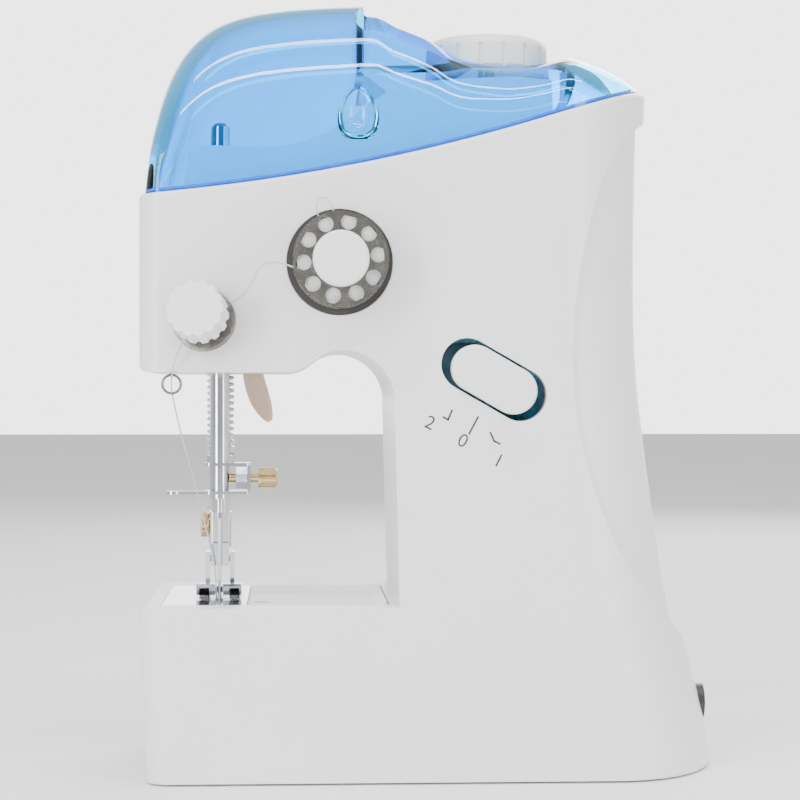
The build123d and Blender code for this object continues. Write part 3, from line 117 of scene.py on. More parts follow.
# thread, from the front bobbin through the tension discs and the guide to the needle
threadLook = {"radius": 0.17 * mm, "sides": 8}
upperRoute = [
    (-30.5, -6.5, 111.2), (-33.4, -6.3, 112.3), (-36.4, -5.9, 112.6), (-38.8, -5.4, 111.2),
    (-39.7, -4.9, 108.6), (-41.3, -4.1, 106.2), (-43.6, -3.1, 104.4), (-46.5, -3.0, 103.0),
    (-49.6, -2.5, 102.8), (-52.4, -2.3, 101.3), (-53.7, -2.8, 98.4), (-55.1, -3.2, 94.9),
    (-57.0, -1.6, 90.4), (-57.5, 2.2, 87.0), (-57.6, 5.6, 84.95),
]
needleRoute = [
    (-57.6, 6.05, 84.95), (-56.3, 12.0, 77.0), (-54.5, 20.0, 69.4), (-52.8, 26.0, 62.0),
    (-51.6, 27.6, 56.0), (-50.0, 28.8, 50.0), (-48.9, 29.6, 44.0), (-48.7, 29.9, 38.0),
    (-48.6, 30.0, 32.9),
]


def nurbsLine(name, places):
    curve = bpy.data.curves.new(name, "CURVE")
    curve.dimensions = "3D"
    curve.resolution_u = 12
    spline = curve.splines.new("NURBS")
    spline.points.add(len(places) - 1)
    for point, place in zip(spline.points, places):
        point.co = (*place, 1.0)
    spline.order_u = 3
    spline.use_endpoint_u = True
    made = bpy.data.objects.new(name, curve)
    bpy.context.scene.collection.objects.link(made)
    return made


def lineOf(places):
    # the points along a smooth line through a route
    guide = nurbsLine("guideLine", places)
    bpy.context.view_layer.update()
    drawn = bpy.data.meshes.new_from_object(guide)
    line = [vertex.co.copy() for vertex in drawn.vertices]
    bpy.data.objects.remove(guide)
    bpy.data.meshes.remove(drawn)
    return line


def newPiece(name, mesh, smoothAngle=None):
    made = bpy.data.objects.new(name, mesh)
    bpy.context.scene.collection.objects.link(made)
    if smoothAngle is not None:
        smoothByAngle(mesh, smoothAngle)
    return made


def smoothByAngle(mesh, degrees):
    work = bmesh.new()
    work.from_mesh(mesh)
    limit = math.radians(degrees)
    for face in work.faces:
        face.smooth = True
    for edge in work.edges:
        edge.smooth = len(edge.link_faces) == 2 and edge.calc_face_angle(math.pi) < limit
    work.to_mesh(mesh)
    work.free()


def tube(name, line, radius, sides, closed=False):
    # round tube along points, with caps
    work = bmesh.new()
    rings = []
    normal = None
    count = len(line)
    for index, place in enumerate(line):
        before = line[index - 1] if index or closed else line[0]
        after = line[(index + 1) % count] if index + 1 < count or closed else line[-1]
        way = (after - before).normalized()
        if normal is None:
            normal = way.orthogonal().normalized()
        normal = (normal - way * normal.dot(way)).normalized()
        side = way.cross(normal)
        ring = []
        for step in range(sides):
            angle = 2 * math.pi * step / sides
            ring.append(work.verts.new(place + (normal * math.cos(angle) + side * math.sin(angle)) * radius))
        rings.append(ring)
    pairs = list(zip(rings, rings[1:])) + ([(rings[-1], rings[0])] if closed else [])
    for first, second in pairs:
        for step in range(sides):
            following = (step + 1) % sides
            work.faces.new((first[step], first[following], second[following], second[step]))
    if not closed:
        work.faces.new(list(reversed(rings[0])))
        work.faces.new(rings[-1])
    bmesh.ops.recalc_face_normals(work, faces=work.faces)
    mesh = bpy.data.meshes.new(name)
    work.to_mesh(mesh)
    work.free()
    return newPiece(name, mesh, 50)


upperLine = lineOf([at(*place) for place in upperRoute])
upperThread = tube("upperThread", upperLine, threadLook["radius"], threadLook["sides"])
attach(upperThread, "root")
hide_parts("upper_thread")
at(*upperRoute[0])

needleLine = lineOf([at(*place) for place in needleRoute])
needleThread = tube("needleThread", needleLine, threadLook["radius"], threadLook["sides"])
at(*needleRoute[0])
at(*needleRoute[3])
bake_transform(needleThread)
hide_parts("needle_thread")
at(*needleRoute[0])
print("threads ready")


# how finishes are written
class Flow:
    # one output of a finish's nodes; with numbers it makes Math nodes
    def __init__(self, finish, socket):
        self.finish = finish
        self.socket = socket

    def reckon(self, operation, first, second):
        return self.finish.node("ShaderNodeMath", {"operation": operation}, {0: first, 1: second})

    def __add__(self, other):
        return self.reckon("ADD", self, other)

    def __radd__(self, other):
        return self.reckon("ADD", other, self)

    def __sub__(self, other):
        return self.reckon("SUBTRACT", self, other)

    def __rsub__(self, other):
        return self.reckon("SUBTRACT", other, self)

    def __mul__(self, other):
        return self.reckon("MULTIPLY", self, other)

    def __rmul__(self, other):
        return self.reckon("MULTIPLY", other, self)

    def __truediv__(self, other):
        return self.reckon("DIVIDE", self, other)

    def __rtruediv__(self, other):
        return self.reckon("DIVIDE", other, self)

    def above(self, limit):
        return self.reckon("GREATER_THAN", self, limit)

    def within(self, low, high):
        # 0 at low, 1 at high, held outside
        span = {"Value": self, 1: low, 2: high, 3: 0.0, 4: 1.0}
        return self.finish.node("ShaderNodeMapRange", {"clamp": True}, span)


class Finish:
    # a material and the nodes that make it
    def __init__(self, name, **fixed):
        self.material = bpy.data.materials.new(name)
        self.material.use_nodes = True
        self.tree = self.material.node_tree
        self.tree.nodes.clear()
        self.shader = self.tree.nodes.new("ShaderNodeBsdfPrincipled")
        self.output = self.tree.nodes.new("ShaderNodeOutputMaterial")
        self.tree.links.new(self.shader.outputs[0], self.output.inputs["Surface"])
        for socketName, value in fixed.items():
            self.put(self.shader.inputs[socketName.replace("_", " ")], value)

    def put(self, socket, value):
        if isinstance(value, Flow):
            self.tree.links.new(value.socket, socket)
        elif isinstance(value, (tuple, list)) and len(value) == 3 and len(socket.default_value) == 4:
            socket.default_value = (*value, 1.0)
        else:
            socket.default_value = value

    def node(self, kind, settings=None, values=None, output=0):
        made = self.tree.nodes.new(kind)
        for key, value in (settings or {}).items():
            if key == "stops":
                while len(made.color_ramp.elements) < len(value):
                    made.color_ramp.elements.new(0.5)
                for element, (position, colour) in zip(made.color_ramp.elements, value):
                    element.position = position
                    element.color = (*colour, 1.0)
            else:
                setattr(made, key, value)
        for key, value in (values or {}).items():
            self.put(made.inputs[key], value)
        return Flow(self, made.outputs[output])

    def feed(self, socketName, value):
        self.put(self.shader.inputs[socketName], value)

    def place(self, stretch=(1, 1, 1)):
        # where a point is on the object, in millimetres, stretched to taste
        where = self.node("ShaderNodeTexCoord", output="Object")
        scale = tuple(1000 * amount for amount in stretch)
        return self.node("ShaderNodeVectorMath", {"operation": "MULTIPLY"}, {0: where, 1: scale})

    def noise(self, where, scale, detail=2.0, rough=0.5):
        values = {"Vector": where, "Scale": scale, "Detail": detail, "Roughness": rough}
        return self.node("ShaderNodeTexNoise", {}, values)

    def blendColour(self, share, first, second):
        return self.node("ShaderNodeMix", {"data_type": "RGBA"}, {0: share, 6: first, 7: second}, output=2)

    def relief(self, height, distance, strength=1.0):
        bump = self.node("ShaderNodeBump", {}, {"Strength": strength, "Distance": distance, "Height": height})
        self.feed("Normal", bump)


def mouldedPlastic(name, look):
    # moulded plastic: faint shade drift, fine grain and slight changes of gloss
    finish = Finish(name, IOR=1.5, Specular_IOR_Level=look.get("specular", 0.5))
    where = finish.place()
    drift = finish.noise(where, 0.018, 3.0)
    speck = finish.noise(where, 0.9, 2.0)
    shade = drift.within(0.35, 0.65)
    finish.feed("Base Color", finish.blendColour(shade, look["colour"], look["deep"]))
    finish.feed("Roughness", look["rough"] + drift * look["roughDrift"] + speck * 0.03)
    grain = finish.noise(where, look["grain"], 3.0, 0.6)
    finish.relief(grain, look["grainDepth"] * mm)
    if "glow" in look:
        finish.shader.inputs["Subsurface Weight"].default_value = look["glow"]
        finish.shader.inputs["Subsurface Scale"].default_value = 0.002
        finish.shader.inputs["Subsurface Radius"].default_value = (1.0, 0.9, 0.8)
    return finish.material


def platedMetal(name, look):
    # metal: brushed or polished, with fine scratches and dull spots
    finish = Finish(name, Metallic=1.0)
    where = finish.place(look.get("stretch", (1, 1, 1)))
    cloud = finish.noise(finish.place(), look.get("cloud", 0.12), 3.0)
    lines = finish.noise(where, look["lineScale"], 4.0, 0.7)
    tint = finish.blendColour(cloud.within(0.35, 0.7), look["colour"], look["deep"])
    finish.feed("Base Color", tint)
    worn = lines.within(0.55, 0.8)
    finish.feed("Roughness", look["rough"] + worn * look["scratch"] + cloud * look.get("dull", 0.06))
    finish.relief(lines, look["relief"] * mm)
    return finish.material


materials = {
    "casing_white": mouldedPlastic("casingWhite", {
        "colour": (0.87, 0.87, 0.88), "deep": (0.84, 0.84, 0.855), "rough": 0.27, "roughDrift": 0.10,
        "grain": 1.6, "grainDepth": 0.012}),
    "wheel_white": mouldedPlastic("wheelWhite", {
        "colour": (0.80, 0.785, 0.76), "deep": (0.76, 0.745, 0.72), "rough": 0.36, "roughDrift": 0.12,
        "grain": 2.4, "grainDepth": 0.02}),
    "lever_tan": mouldedPlastic("leverTan", {
        "colour": (0.78, 0.60, 0.44), "deep": (0.72, 0.53, 0.38), "rough": 0.34, "roughDrift": 0.12,
        "grain": 2.0, "grainDepth": 0.02, "glow": 0.08}),
    "dark_plastic": mouldedPlastic("darkPlastic", {
        "colour": (0.022, 0.020, 0.019), "deep": (0.035, 0.032, 0.030), "rough": 0.34, "roughDrift": 0.2,
        "grain": 2.2, "grainDepth": 0.02}),
    "gear_plastic": mouldedPlastic("gearPlastic", {
        "colour": (0.74, 0.70, 0.58), "deep": (0.66, 0.61, 0.48), "rough": 0.42, "roughDrift": 0.15,
        "grain": 1.8, "grainDepth": 0.02, "glow": 0.1}),
    "rubber_dark": mouldedPlastic("rubberDark", {
        "colour": (0.020, 0.020, 0.021), "deep": (0.034, 0.034, 0.035), "rough": 0.72, "roughDrift": 0.15,
        "grain": 3.0, "grainDepth": 0.05, "specular": 0.3}),
    "plated_steel": platedMetal("platedSteel", {
        "colour": (0.74, 0.75, 0.78), "deep": (0.60, 0.61, 0.65), "rough": 0.07, "scratch": 0.16,
        "lineScale": 1.4, "stretch": (3, 3, 0.35), "relief": 0.002}),
    "steel": platedMetal("brightSteel", {
        "colour": (0.66, 0.66, 0.68), "deep": (0.56, 0.56, 0.58), "rough": 0.22, "scratch": 0.2,
        "lineScale": 2.0, "stretch": (1.0, 3, 3), "relief": 0.004}),
    "dark_steel": platedMetal("darkSteel", {
        "colour": (0.30, 0.285, 0.26), "deep": (0.19, 0.175, 0.155), "rough": 0.24, "scratch": 0.22,
        "lineScale": 1.6, "relief": 0.006, "cloud": 0.35}),
    "brass_metal": platedMetal("brassMetal", {
        "colour": (0.83, 0.64, 0.33), "deep": (0.70, 0.50, 0.22), "rough": 0.20, "scratch": 0.25,
        "lineScale": 2.2, "relief": 0.004, "cloud": 0.5}),
    "pressed_frame": platedMetal("pressedFrame", {
        "colour": (0.62, 0.63, 0.64), "deep": (0.46, 0.47, 0.49), "rough": 0.36, "scratch": 0.2,
        "lineScale": 0.6, "relief": 0.01, "cloud": 0.2}),
}


def coverPlastic():
    # clear blue plastic, with fine ripples from the mould and faint rub marks
    look = {"tint": (0.035, 0.58, 0.97), "deep": (0.02, 0.52, 0.95), "rough": 0.02}
    finish = Finish("coverBlue", IOR=1.46, Transmission_Weight=1.0)
    where = finish.place()
    drift = finish.noise(where, 0.02, 2.0)
    rub = finish.noise(finish.place((1, 1, 0.25)), 1.3, 4.0, 0.7).within(0.60, 0.85)
    finish.feed("Base Color", finish.blendColour(drift.within(0.3, 0.7), look["tint"], look["deep"]))
    finish.feed("Roughness", look["rough"] + rub * 0.05)
    finish.relief(finish.noise(where, 0.05, 1.0), 0.06 * mm)
    # lamps reach what is under the cover
    passed = finish.tree.nodes.new("ShaderNodeBsdfTransparent")
    passed.inputs["Color"].default_value = (0.30, 0.78, 0.97, 1)
    chosen = finish.tree.nodes.new("ShaderNodeMixShader")
    path = finish.node("ShaderNodeLightPath", output="Is Shadow Ray")
    finish.put(chosen.inputs[0], path)
    finish.tree.links.new(finish.shader.outputs[0], chosen.inputs[1])
    finish.tree.links.new(passed.outputs[0], chosen.inputs[2])
    finish.tree.links.new(chosen.outputs[0], finish.output.inputs["Surface"])
    return finish.material


def paintedFootShade():
    # painted shade: opaque dark blue standing in for the deeper blue that the clear cover's foot shows
    # edge-on; the cloud only varies it at random
    finish = Finish("coverFootPaintedShade", Coat_Weight=0.5)
    cloud = finish.noise(finish.place(), 0.2, 3.0)
    tint = finish.blendColour(cloud.within(0.3, 0.7), (0.01, 0.13, 0.62), (0.01, 0.20, 0.72))
    finish.feed("Base Color", tint)
    finish.feed("Roughness", 0.15 + cloud * 0.1)
    return finish.material


def lidPlastic():
    # clear lid over the bobbin, smoky and lightly scuffed
    finish = Finish("lidClear", IOR=1.46, Specular_IOR_Level=0.6)
    where = finish.place()
    scuff = finish.noise(finish.place((1, 0.2, 1)), 1.8, 4.0, 0.7).within(0.58, 0.85)
    tint = finish.blendColour(finish.noise(where, 0.05), (0.70, 0.72, 0.74), (0.62, 0.64, 0.66))
    finish.feed("Base Color", tint)
    finish.feed("Roughness", 0.04 + scuff * 0.12)
    finish.feed("Alpha", 0.55 + scuff * 0.1)
    finish.relief(finish.noise(where, 0.12, 2.0), 0.02 * mm)
    return finish.material


def cellWrap():
    # battery wrap: dark sleeve with a copper band at the plus end
    look = {"sleeve": (0.020, 0.022, 0.026), "band": (0.72, 0.34, 0.12), "edge": -21.0, "period": 51.0}
    finish = Finish("cellWrap", IOR=1.5, Coat_Weight=0.4)
    where = finish.place()
    along = finish.node("ShaderNodeSeparateXYZ", {}, {0: where}, output="X")
    share = finish.node("ShaderNodeMath", {"operation": "FRACT"}, {0: (along + 59.0) / look["period"]})
    band = share.above(0.76)
    mottle = finish.noise(where, 0.4, 3.0)
    finish.feed("Base Color", finish.blendColour(band, look["sleeve"], look["band"]))
    finish.feed("Roughness", 0.22 + mottle * 0.1)
    finish.feed("Metallic", band * 0.8)
    finish.relief(mottle, 0.01 * mm)
    return finish.material


def threadFibre():
    # twisted sewing thread with stray fibres, coloured grey as painted shade
    finish = Finish("threadPaintedShadeGrey", Specular_IOR_Level=0.3)
    finish.shader.inputs["Sheen Weight"].default_value = 0.4
    where = finish.place((1, 1, 1))
    twist = finish.node("ShaderNodeTexWave", {"wave_type": "BANDS", "bands_direction": "DIAGONAL"},
                        {"Vector": where, "Scale": 2.6, "Distortion": 1.5, "Detail": 2.0}, output=1)
    fibre = finish.noise(where, 7.0, 4.0, 0.7)
    # painted shade: the white thread is coloured grey, darker than the casing, standing in for the shade
    # along it; the twist bands vary that grey
    finish.feed("Base Color", finish.blendColour(twist, (0.56, 0.56, 0.57), (0.70, 0.70, 0.70)))
    finish.feed("Roughness", 0.62 + fibre * 0.2)
    finish.relief(twist * 0.7 + fibre * 0.3, 0.05 * mm)
    return finish.material


def printedInk():
    finish = Finish("printedInk", Specular_IOR_Level=0.3)
    worn = finish.noise(finish.place(), 2.5, 4.0, 0.7)
    shade = finish.blendColour(worn.within(0.55, 0.8), (0.055, 0.055, 0.06), (0.16, 0.16, 0.165))
    finish.feed("Base Color", shade)
    finish.feed("Roughness", 0.42 + worn * 0.2)
    return finish.material


materials["cover_blue"] = coverPlastic()
materials["lid_clear"] = lidPlastic()
materials["cell_wrap"] = cellWrap()
materials["white_thread"] = threadFibre()
inkMaterial = printedInk()

for part in nodes.values():
    slotName = part.data.materials[0].name.split(".")[0]
    material = materials.get(slotName, materials["casing_white"])
    for index in range(len(part.data.materials)):
        part.data.materials[index] = material
print("finishes on", len(nodes), "parts")


def dress(piece, body, slotName, material=None):
    piece.data.materials.clear()
    piece.data.materials.append(material or materials[slotName])
    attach(piece, body)
    return piece


upperThread.data.materials.append(materials["white_thread"])
needleThread.data.materials.append(materials["white_thread"])


# clear top cover
cover = {
    "wall": 1.7, "inset": 1.35, "crown": 2.5, "stations": 96, "arch": 64,
    "profile": [
        (-63.3, 128.3), (-63.15, 133.0), (-62.1, 144.2), (-58.6, 156.3), (-53.0, 164.7), (-45.0, 169.5),
        (-33.0, 171.9), (-16.0, 172.9), (-12.0, 172.4), (-8.6, 170.2), (-6.0, 169.0), (-0.2, 166.0),
        (5.6, 161.8), (14.0, 159.8), (17.6, 159.4), (24.0, 160.0), (27.6, 160.9), (30.0, 161.2),
        (35.7, 159.4), (38.5, 158.4), (43.5, 155.9), (46.4, 154.5), (48.0, 153.7),
    ],
    "pocketX": (-15.5, 30.5), "pocketFront": 14.2, "pocketFloor": 157.0, "pocketCorner": 1.5,
    "pocketBack": 90, "above": 190, "hollowDrop": 3.0,
    "notchPlace": (-17.1, 1.4), "shaftHole": (13.3, 30.0, 150, 160, 3.4),
    "notch": [(141.2, 0.0), (141.4, 1.2), (142.0, 2.3), (143.2, 3.1), (144.8, 3.45), (146.6, 3.4),
              (148.6, 2.9), (150.4, 2.1), (151.8, 1.2), (152.6, 0.0)],
}
casing = {
    "halfWidth": 64.5, "halfDepth": 34.0, "corner": 5.0, "right": 49.5, "wrap": 25.0,
}


def circleThrough(first, second, third):
    (ax, ay), (bx, by), (cx, cy) = first, second, third
    d = 2 * (ax * (by - cy) + bx * (cy - ay) + cx * (ay - by))
    ux = ((ax**2 + ay**2) * (by - cy) + (bx**2 + by**2) * (cy - ay) + (cx**2 + cy**2) * (ay - by)) / d
    uy = ((ax**2 + ay**2) * (cx - bx) + (bx**2 + by**2) * (ax - cx) + (cx**2 + cy**2) * (bx - ax)) / d
    return ux, uy, math.hypot(ax - ux, ay - uy)


# the rim's curve runs a little past both sides, as the casing has it
rimPoints = ((-66.5, 127.4), (-8.2, 136.2), (52.5, 154.8))
rimX, rimZ, rimRadius = circleThrough(*rimPoints)


def rimHeight(x):
    return rimZ - math.copysign(math.sqrt(rimRadius**2 - (x - rimX) ** 2), rimZ - rimPoints[0][1])


def planHalf(x, inset):
    # half the casing's depth at a place along X, set in by an amount
    turn = casing["right"] - casing["wrap"]
    if x > turn:
        share = min(1.0, (x - turn) / (casing["wrap"] - inset))
        return (casing["halfDepth"] - inset) * math.sqrt(1 - share**2)
    run = -casing["halfWidth"] + casing["corner"] - x
    if run > 0:
        bend = casing["corner"] - inset
        return casing["halfDepth"] - casing["corner"] + math.sqrt(max(0.0, bend**2 - run**2))
    return casing["halfDepth"] - inset


def smoothProfile(points, count):
    # an even, smooth run of points through a few given ones
    ends = [points[0]] + list(points) + [points[-1]]
    dense = []
    for first, second, third, fourth in zip(ends, ends[1:], ends[2:], ends[3:]):
        for step in range(24):
            t = step / 24
            dense.append(tuple(
                0.5 * (2 * b + (c - a) * t
                       + (2 * a - 5 * b + 4 * c - d) * t**2 + (3 * b - a - 3 * c + d) * t**3)
                for a, b, c, d in zip(first, second, third, fourth)))
    dense.append(points[-1])
    lengths = [0.0]
    for before, after in zip(dense, dense[1:]):
        lengths.append(lengths[-1] + math.dist(before, after))
    even = []
    index = 0
    for step in range(count):
        goal = lengths[-1] * step / (count - 1)
        while index < len(dense) - 2 and lengths[index + 1] < goal:
            index += 1
        span = lengths[index + 1] - lengths[index] or 1.0
        share = (goal - lengths[index]) / span
        even.append(tuple(a + (b - a) * share for a, b in zip(dense[index], dense[index + 1])))
    return even


def coverForm(name, shrink, drop):
    # arched body over the rim: the outside, or the hollow when it shrinks and drops
    profile = smoothProfile(cover["profile"], cover["stations"])
    low, high = profile[0][0], profile[-1][0]
    work = bmesh.new()
    rings = []
    for x, top in profile:
        share = (x - low) / (high - low)
        place = low + shrink + (high - low - 2 * shrink) * share
        half = max(0.4, planHalf(place, cover["inset"] + shrink))
        foot = rimHeight(place) + 0.08 - drop
        rise = max(0.5, top - shrink - foot)
        ring = []
        for step in range(cover["arch"] + 1):
            angle = math.pi * step / cover["arch"]
            across, up = math.cos(angle), math.sin(angle)
            y = half * math.copysign(abs(across) ** (2 / cover["crown"]), across)
            z = rise * abs(up) ** (2 / cover["crown"])
            ring.append(work.verts.new((place * mm, midY + y * mm, (foot + z) * mm)))
        rings.append(ring)
    for first, second in zip(rings, rings[1:]):
        for step in range(cover["arch"]):
            work.faces.new((first[step], first[step + 1], second[step + 1], second[step]))
        work.faces.new((first[-1], first[0], second[0], second[-1]))
    work.faces.new(rings[0])
    work.faces.new(list(reversed(rings[-1])))
    bmesh.ops.remove_doubles(work, verts=work.verts, dist=1e-6)
    bmesh.ops.recalc_face_normals(work, faces=work.faces)
    mesh = bpy.data.meshes.new(name)
    work.to_mesh(mesh)
    work.free()
    return newPiece(name, mesh)


def roundedBlock(name, xRange, yRange, zRange, corner, steps=8):
    # upright block with rounded front corners
    (left, right), (front, back), (low, high) = xRange, yRange, zRange
    outline = [(right, back), (left, back)]
    for centreX, start in ((left + corner, 180), (right - corner, 270)):
        for step in range(steps + 1):
            angle = math.radians(start + 90 * step / steps)
            outline.append((centreX + corner * math.cos(angle), front + corner + corner * math.sin(angle)))
    work = bmesh.new()
    lower = [work.verts.new(at(x, depth, low)) for x, depth in outline]
    upper = [work.verts.new(at(x, depth, high)) for x, depth in outline]
    work.faces.new(list(reversed(lower)))
    work.faces.new(upper)
    for index in range(len(outline)):
        following = (index + 1) % len(outline)
        work.faces.new((lower[index], lower[following], upper[following], upper[index]))
    bmesh.ops.recalc_face_normals(work, faces=work.faces)
    mesh = bpy.data.meshes.new(name)
    work.to_mesh(mesh)
    work.free()
    return newPiece(name, mesh)


def roundPeg(name, x, depth, low, high, radius, sides=48):
    work = bmesh.new()
    bmesh.ops.create_cone(work, cap_ends=True, segments=sides, radius1=radius * mm, radius2=radius * mm,
                          depth=(high - low) * mm, matrix=Matrix.Translation(at(x, depth, (low + high) / 2)))
    mesh = bpy.data.meshes.new(name)
    work.to_mesh(mesh)
    work.free()
    return newPiece(name, mesh)


def lathed(name, x, depth, profile, grow=0.0, sides=40):
    # turned body about an upright line, from heights and radii
    middle = (profile[0][0] + profile[-1][0]) / 2
    half = (profile[-1][0] - profile[0][0]) / 2
    work = bmesh.new()
    rings = []
    for z, radius in profile:
        height = middle + (z - middle) * (half + grow) / half
        if radius == 0.0:
            rings.append([work.verts.new(at(x, depth, height))])
            continue
        rings.append([
            work.verts.new(at(x + (radius + grow) * math.cos(2 * math.pi * step / sides),
                              depth + (radius + grow) * math.sin(2 * math.pi * step / sides), height))
            for step in range(sides)])
    for first, second in zip(rings, rings[1:]):
        for step in range(sides):
            following = (step + 1) % sides
            if len(first) == 1:
                work.faces.new((first[0], second[following], second[step]))
            elif len(second) == 1:
                work.faces.new((first[step], first[following], second[0]))
            else:
                work.faces.new((first[step], first[following], second[following], second[step]))
    bmesh.ops.recalc_face_normals(work, faces=work.faces)
    mesh = bpy.data.meshes.new(name)
    work.to_mesh(mesh)
    work.free()
    return newPiece(name, mesh)


def carve(piece, cutters):
    # cut away solids, then drop them
    for cutter in cutters:
        cut = piece.modifiers.new("cut", "BOOLEAN")
        cut.operation = "DIFFERENCE"
        cut.solver = "EXACT"
        cut.object = cutter
    bpy.context.view_layer.update()
    carved = bpy.data.meshes.new_from_object(piece.evaluated_get(bpy.context.evaluated_depsgraph_get()))
    piece.modifiers.clear()
    piece.data = carved
    for cutter in cutters:
        bpy.data.objects.remove(cutter)
    return piece


(pocketLeft, pocketRight), pocketFront = cover["pocketX"], cover["pocketFront"]
skin = cover["wall"]
hollow = coverForm("coverHollow", skin, cover["hollowDrop"])
carve(hollow, [
    roundedBlock("pocketWalls", (pocketLeft - skin, pocketRight + skin),
                 (pocketFront - skin, cover["pocketBack"]),
                 (cover["pocketFloor"] - skin, cover["above"]), cover["pocketCorner"] + skin),
    lathed("notchWall", *cover["notchPlace"], cover["notch"], skin),
])
clearCover = coverForm("clearCover", 0.0, 0.0)
carve(clearCover, [
    hollow,
    roundedBlock("pocketSpace", (pocketLeft, pocketRight), (pocketFront, cover["pocketBack"]),
                 (cover["pocketFloor"], cover["above"]), cover["pocketCorner"]),
    lathed("notchSpace", *cover["notchPlace"], cover["notch"]),
    roundPeg("shaftSpace", *cover["shaftHole"]),
])
smoothByAngle(clearCover.data, 28)
dress(clearCover, "root", "cover_blue")
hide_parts("top_cover")

# painted shade: an opaque dark blue line along the cover's foot stands in for the deeper blue that the clear
# plastic gathers there
edge = {"radius": 0.42, "lift": 0.55, "inset": 1.75}
edgeFront = []
edgeBack = []
for x, top in smoothProfile(cover["profile"], cover["stations"]):
    x = min(x + 0.5, 47.4)
    reach = planHalf(x, edge["inset"])
    height = (rimHeight(x) + edge["lift"]) * mm
    if not edgeFront or x * mm - edgeFront[-1].x > 0.2 * mm:
        edgeFront.append(Vector((x * mm, midY - reach * mm, height)))
        edgeBack.append(Vector((x * mm, midY + reach * mm, height)))
coverFootPaintedLine = tube("coverFootPaintedLine", edgeFront + edgeBack[::-1], edge["radius"] * mm, 8, closed=True)
dress(coverFootPaintedLine, "root", "cover_blue", paintedFootShade())
print("cover ready", len(clearCover.data.vertices))

# white thread wound on the front bobbin
winding = {
    "radius": 9.2, "inner": 3.7, "front": -12.05, "back": -1.65, "turns": 27, "steps": 72,
    "x": -21.2, "z": 112.9,
}


def woundThread():
    work = bmesh.new()
    draw = random.Random(5)
    profile = [(winding["inner"], winding["front"])]
    pitch = (winding["back"] - winding["front"]) / winding["turns"]
    for turn in range(winding["turns"]):
        lift = draw.uniform(-0.12, 0.0)
        for share in (0.06, 0.28, 0.5, 0.72, 0.94):
            depth = winding["front"] + (turn + share) * pitch
            profile.append((winding["radius"] + lift + 0.16 * math.sin(math.pi * share) - 0.16, depth))
    profile.append((winding["inner"], winding["back"]))
    rings = []
    for step in range(winding["steps"]):
        angle = 2 * math.pi * step / winding["steps"]
        slant = pitch * step / winding["steps"]
        ring = []
        for index, (radius, depth) in enumerate(profile):
            shift = slant if 0 < index < len(profile) - 1 else 0.0
            depth = min(max(depth + shift - pitch / 2, winding["front"]), winding["back"])
            x = winding["x"] + radius * math.cos(angle)
            z = winding["z"] + radius * math.sin(angle)
            ring.append(work.verts.new(at(x, depth, z)))
        rings.append(ring)
    for first, second in zip(rings, rings[1:] + rings[:1]):
        for index in range(len(profile) - 1):
            work.faces.new((first[index], first[index + 1], second[index + 1], second[index]))
        work.faces.new((first[-1], first[0], second[0], second[-1]))
    bmesh.ops.recalc_face_normals(work, faces=work.faces)
    mesh = bpy.data.meshes.new("woundThread")
    work.to_mesh(mesh)
    work.free()
    return newPiece("woundThread", mesh, 60)


wound = woundThread()
dress(wound, "front_bobbin", "white_thread")
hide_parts("bobbin_winding")

# a loose end that stands up in a small loop over the bobbin
tailRadius = 0.13 * mm
looseEnd = [(-25.6, -5.6, 121.6), (-26.3, -6.4, 123.6), (-26.2, -6.9, 125.4), (-25.0, -7.2, 126.4),
            (-23.6, -7.1, 125.9), (-22.9, -6.8, 124.2), (-22.3, -6.2, 122.2)]
tail = tube("looseEnd", lineOf([at(*place) for place in looseEnd]), tailRadius, 8)
dress(tail, "front_bobbin", "white_thread")

# small brass wire clip on the foot screw
clip = {"x": -50.9, "depth": 33.2, "z": 57.0, "wide": 0.9, "high": 1.6, "wire": 0.22}
clipLine = []
for step in range(30):
    angle = math.radians(40 + 280 * step / 29)
    x = clip["x"] + clip["wide"] * math.cos(angle)
    z = clip["z"] + clip["high"] * math.sin(angle)
    clipLine.append(at(x, clip["depth"], z))
wireClip = tube("wireClip", clipLine, clip["wire"] * mm, 10)
dress(wireClip, "presser_bar", "brass_metal")

# marks printed beside the switch
marks = {
    "lean": -27.0, "size": 4.2, "thick": 0.03,
    "numbers": [("2", -1.74, 78.17), ("0", 5.38, 74.29), ("1", 13.14, 69.98)],
    "strokes": [
        ((1.2, 79.5), (2.2, 78.9), (3.05, 80.9)),
        ((11.4, 76.1), (12.2, 74.3), (13.4, 73.7)),
        ((8.68, 79.47), (6.80, 75.91)),
    ],
    "stroke": 0.42,
}


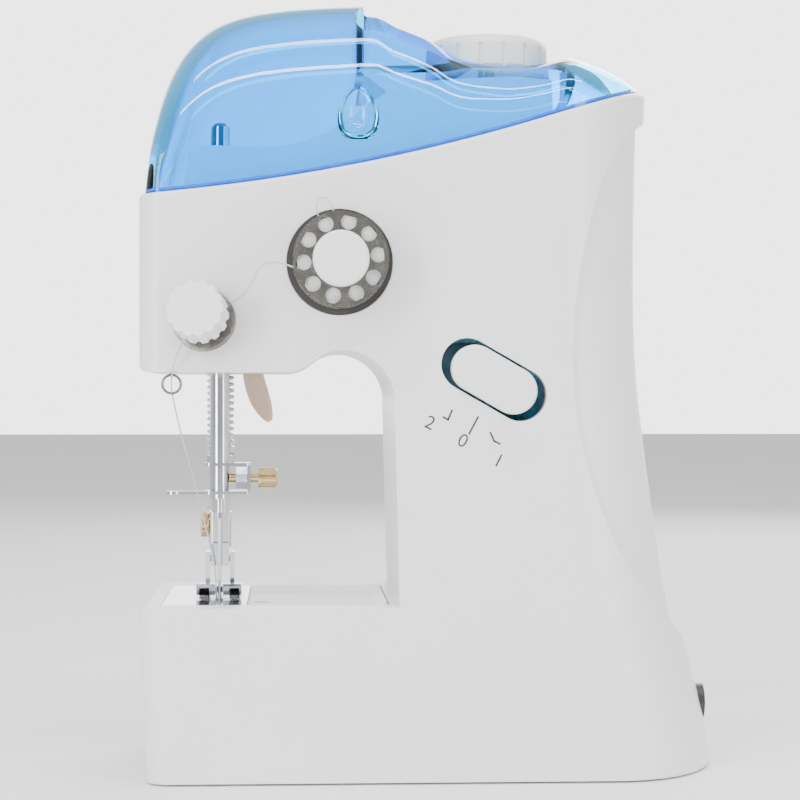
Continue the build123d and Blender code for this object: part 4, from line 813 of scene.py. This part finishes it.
def printedNumber(name, text, x, z):
    letter = bpy.data.curves.new(name, "FONT")
    letter.body = text
    letter.size = marks["size"] * mm
    letter.align_x = "CENTER"
    letter.align_y = "CENTER"
    letter.extrude = marks["thick"] * mm / 2
    holder = bpy.data.objects.new(name, letter)
    bpy.context.scene.collection.objects.link(holder)
    lean = Matrix.Rotation(math.radians(marks["lean"]), 4, "Y").inverted()
    turn = lean @ Matrix.Rotation(math.radians(90), 4, "X")
    holder.matrix_world = Matrix.Translation(at(x, -marks["thick"] / 2, z)) @ turn
    bpy.context.view_layer.update()
    mesh = bpy.data.meshes.new_from_object(holder.evaluated_get(bpy.context.evaluated_depsgraph_get()))
    mesh.transform(holder.matrix_world)
    bpy.data.objects.remove(holder)
    return newPiece(name, mesh)


def printedStroke(name, places):
    # a flat line of one width with square corners
    work = bmesh.new()
    half = marks["stroke"] / 2
    for (ax, az), (bx, bz) in zip(places, places[1:]):
        length = math.hypot(bx - ax, bz - az)
        ux, uz = (bx - ax) / length * half, (bz - az) / length * half
        corners = [(ax - ux - uz, az - uz + ux), (bx + ux - uz, bz + uz + ux),
                   (bx + ux + uz, bz + uz - ux), (ax - ux + uz, az - uz - ux)]
        front = [work.verts.new(at(x, -marks["thick"], z)) for x, z in corners]
        back = [work.verts.new(at(x, 0.0, z)) for x, z in corners]
        work.faces.new(front)
        work.faces.new(list(reversed(back)))
        for index in range(4):
            following = (index + 1) % 4
            work.faces.new((front[following], front[index], back[index], back[following]))
    bmesh.ops.recalc_face_normals(work, faces=work.faces)
    mesh = bpy.data.meshes.new(name)
    work.to_mesh(mesh)
    work.free()
    return newPiece(name, mesh)


for index, (text, x, z) in enumerate(marks["numbers"]):
    dress(printedNumber(f"switchNumber{index + 1}", text, x, z), "root", "dark_plastic", inkMaterial)
for index, places in enumerate(marks["strokes"]):
    dress(printedStroke(f"switchTick{index + 1}", places), "root", "dark_plastic", inkMaterial)
print("small pieces ready")

# floor
floorMesh = bpy.data.meshes.new("paleFloor")
floorMesh.from_pydata([(-3, -2, 0), (3, -2, 0), (3, 4, 0), (-3, 4, 0)], [], [(0, 1, 2, 3)])
floor = bpy.data.objects.new("paleFloor", floorMesh)
bpy.context.scene.collection.objects.link(floor)
paper = Finish("palePaper", Specular_IOR_Level=0.2)
paperCloud = paper.noise(paper.place(), 0.01)
paper.feed("Base Color", paper.blendColour(paperCloud, (0.93, 0.93, 0.93), (0.91, 0.91, 0.915)))
paper.feed("Roughness", 0.7 + paper.noise(paper.place(), 0.2) * 0.1)
floor.data.materials.append(paper.material)
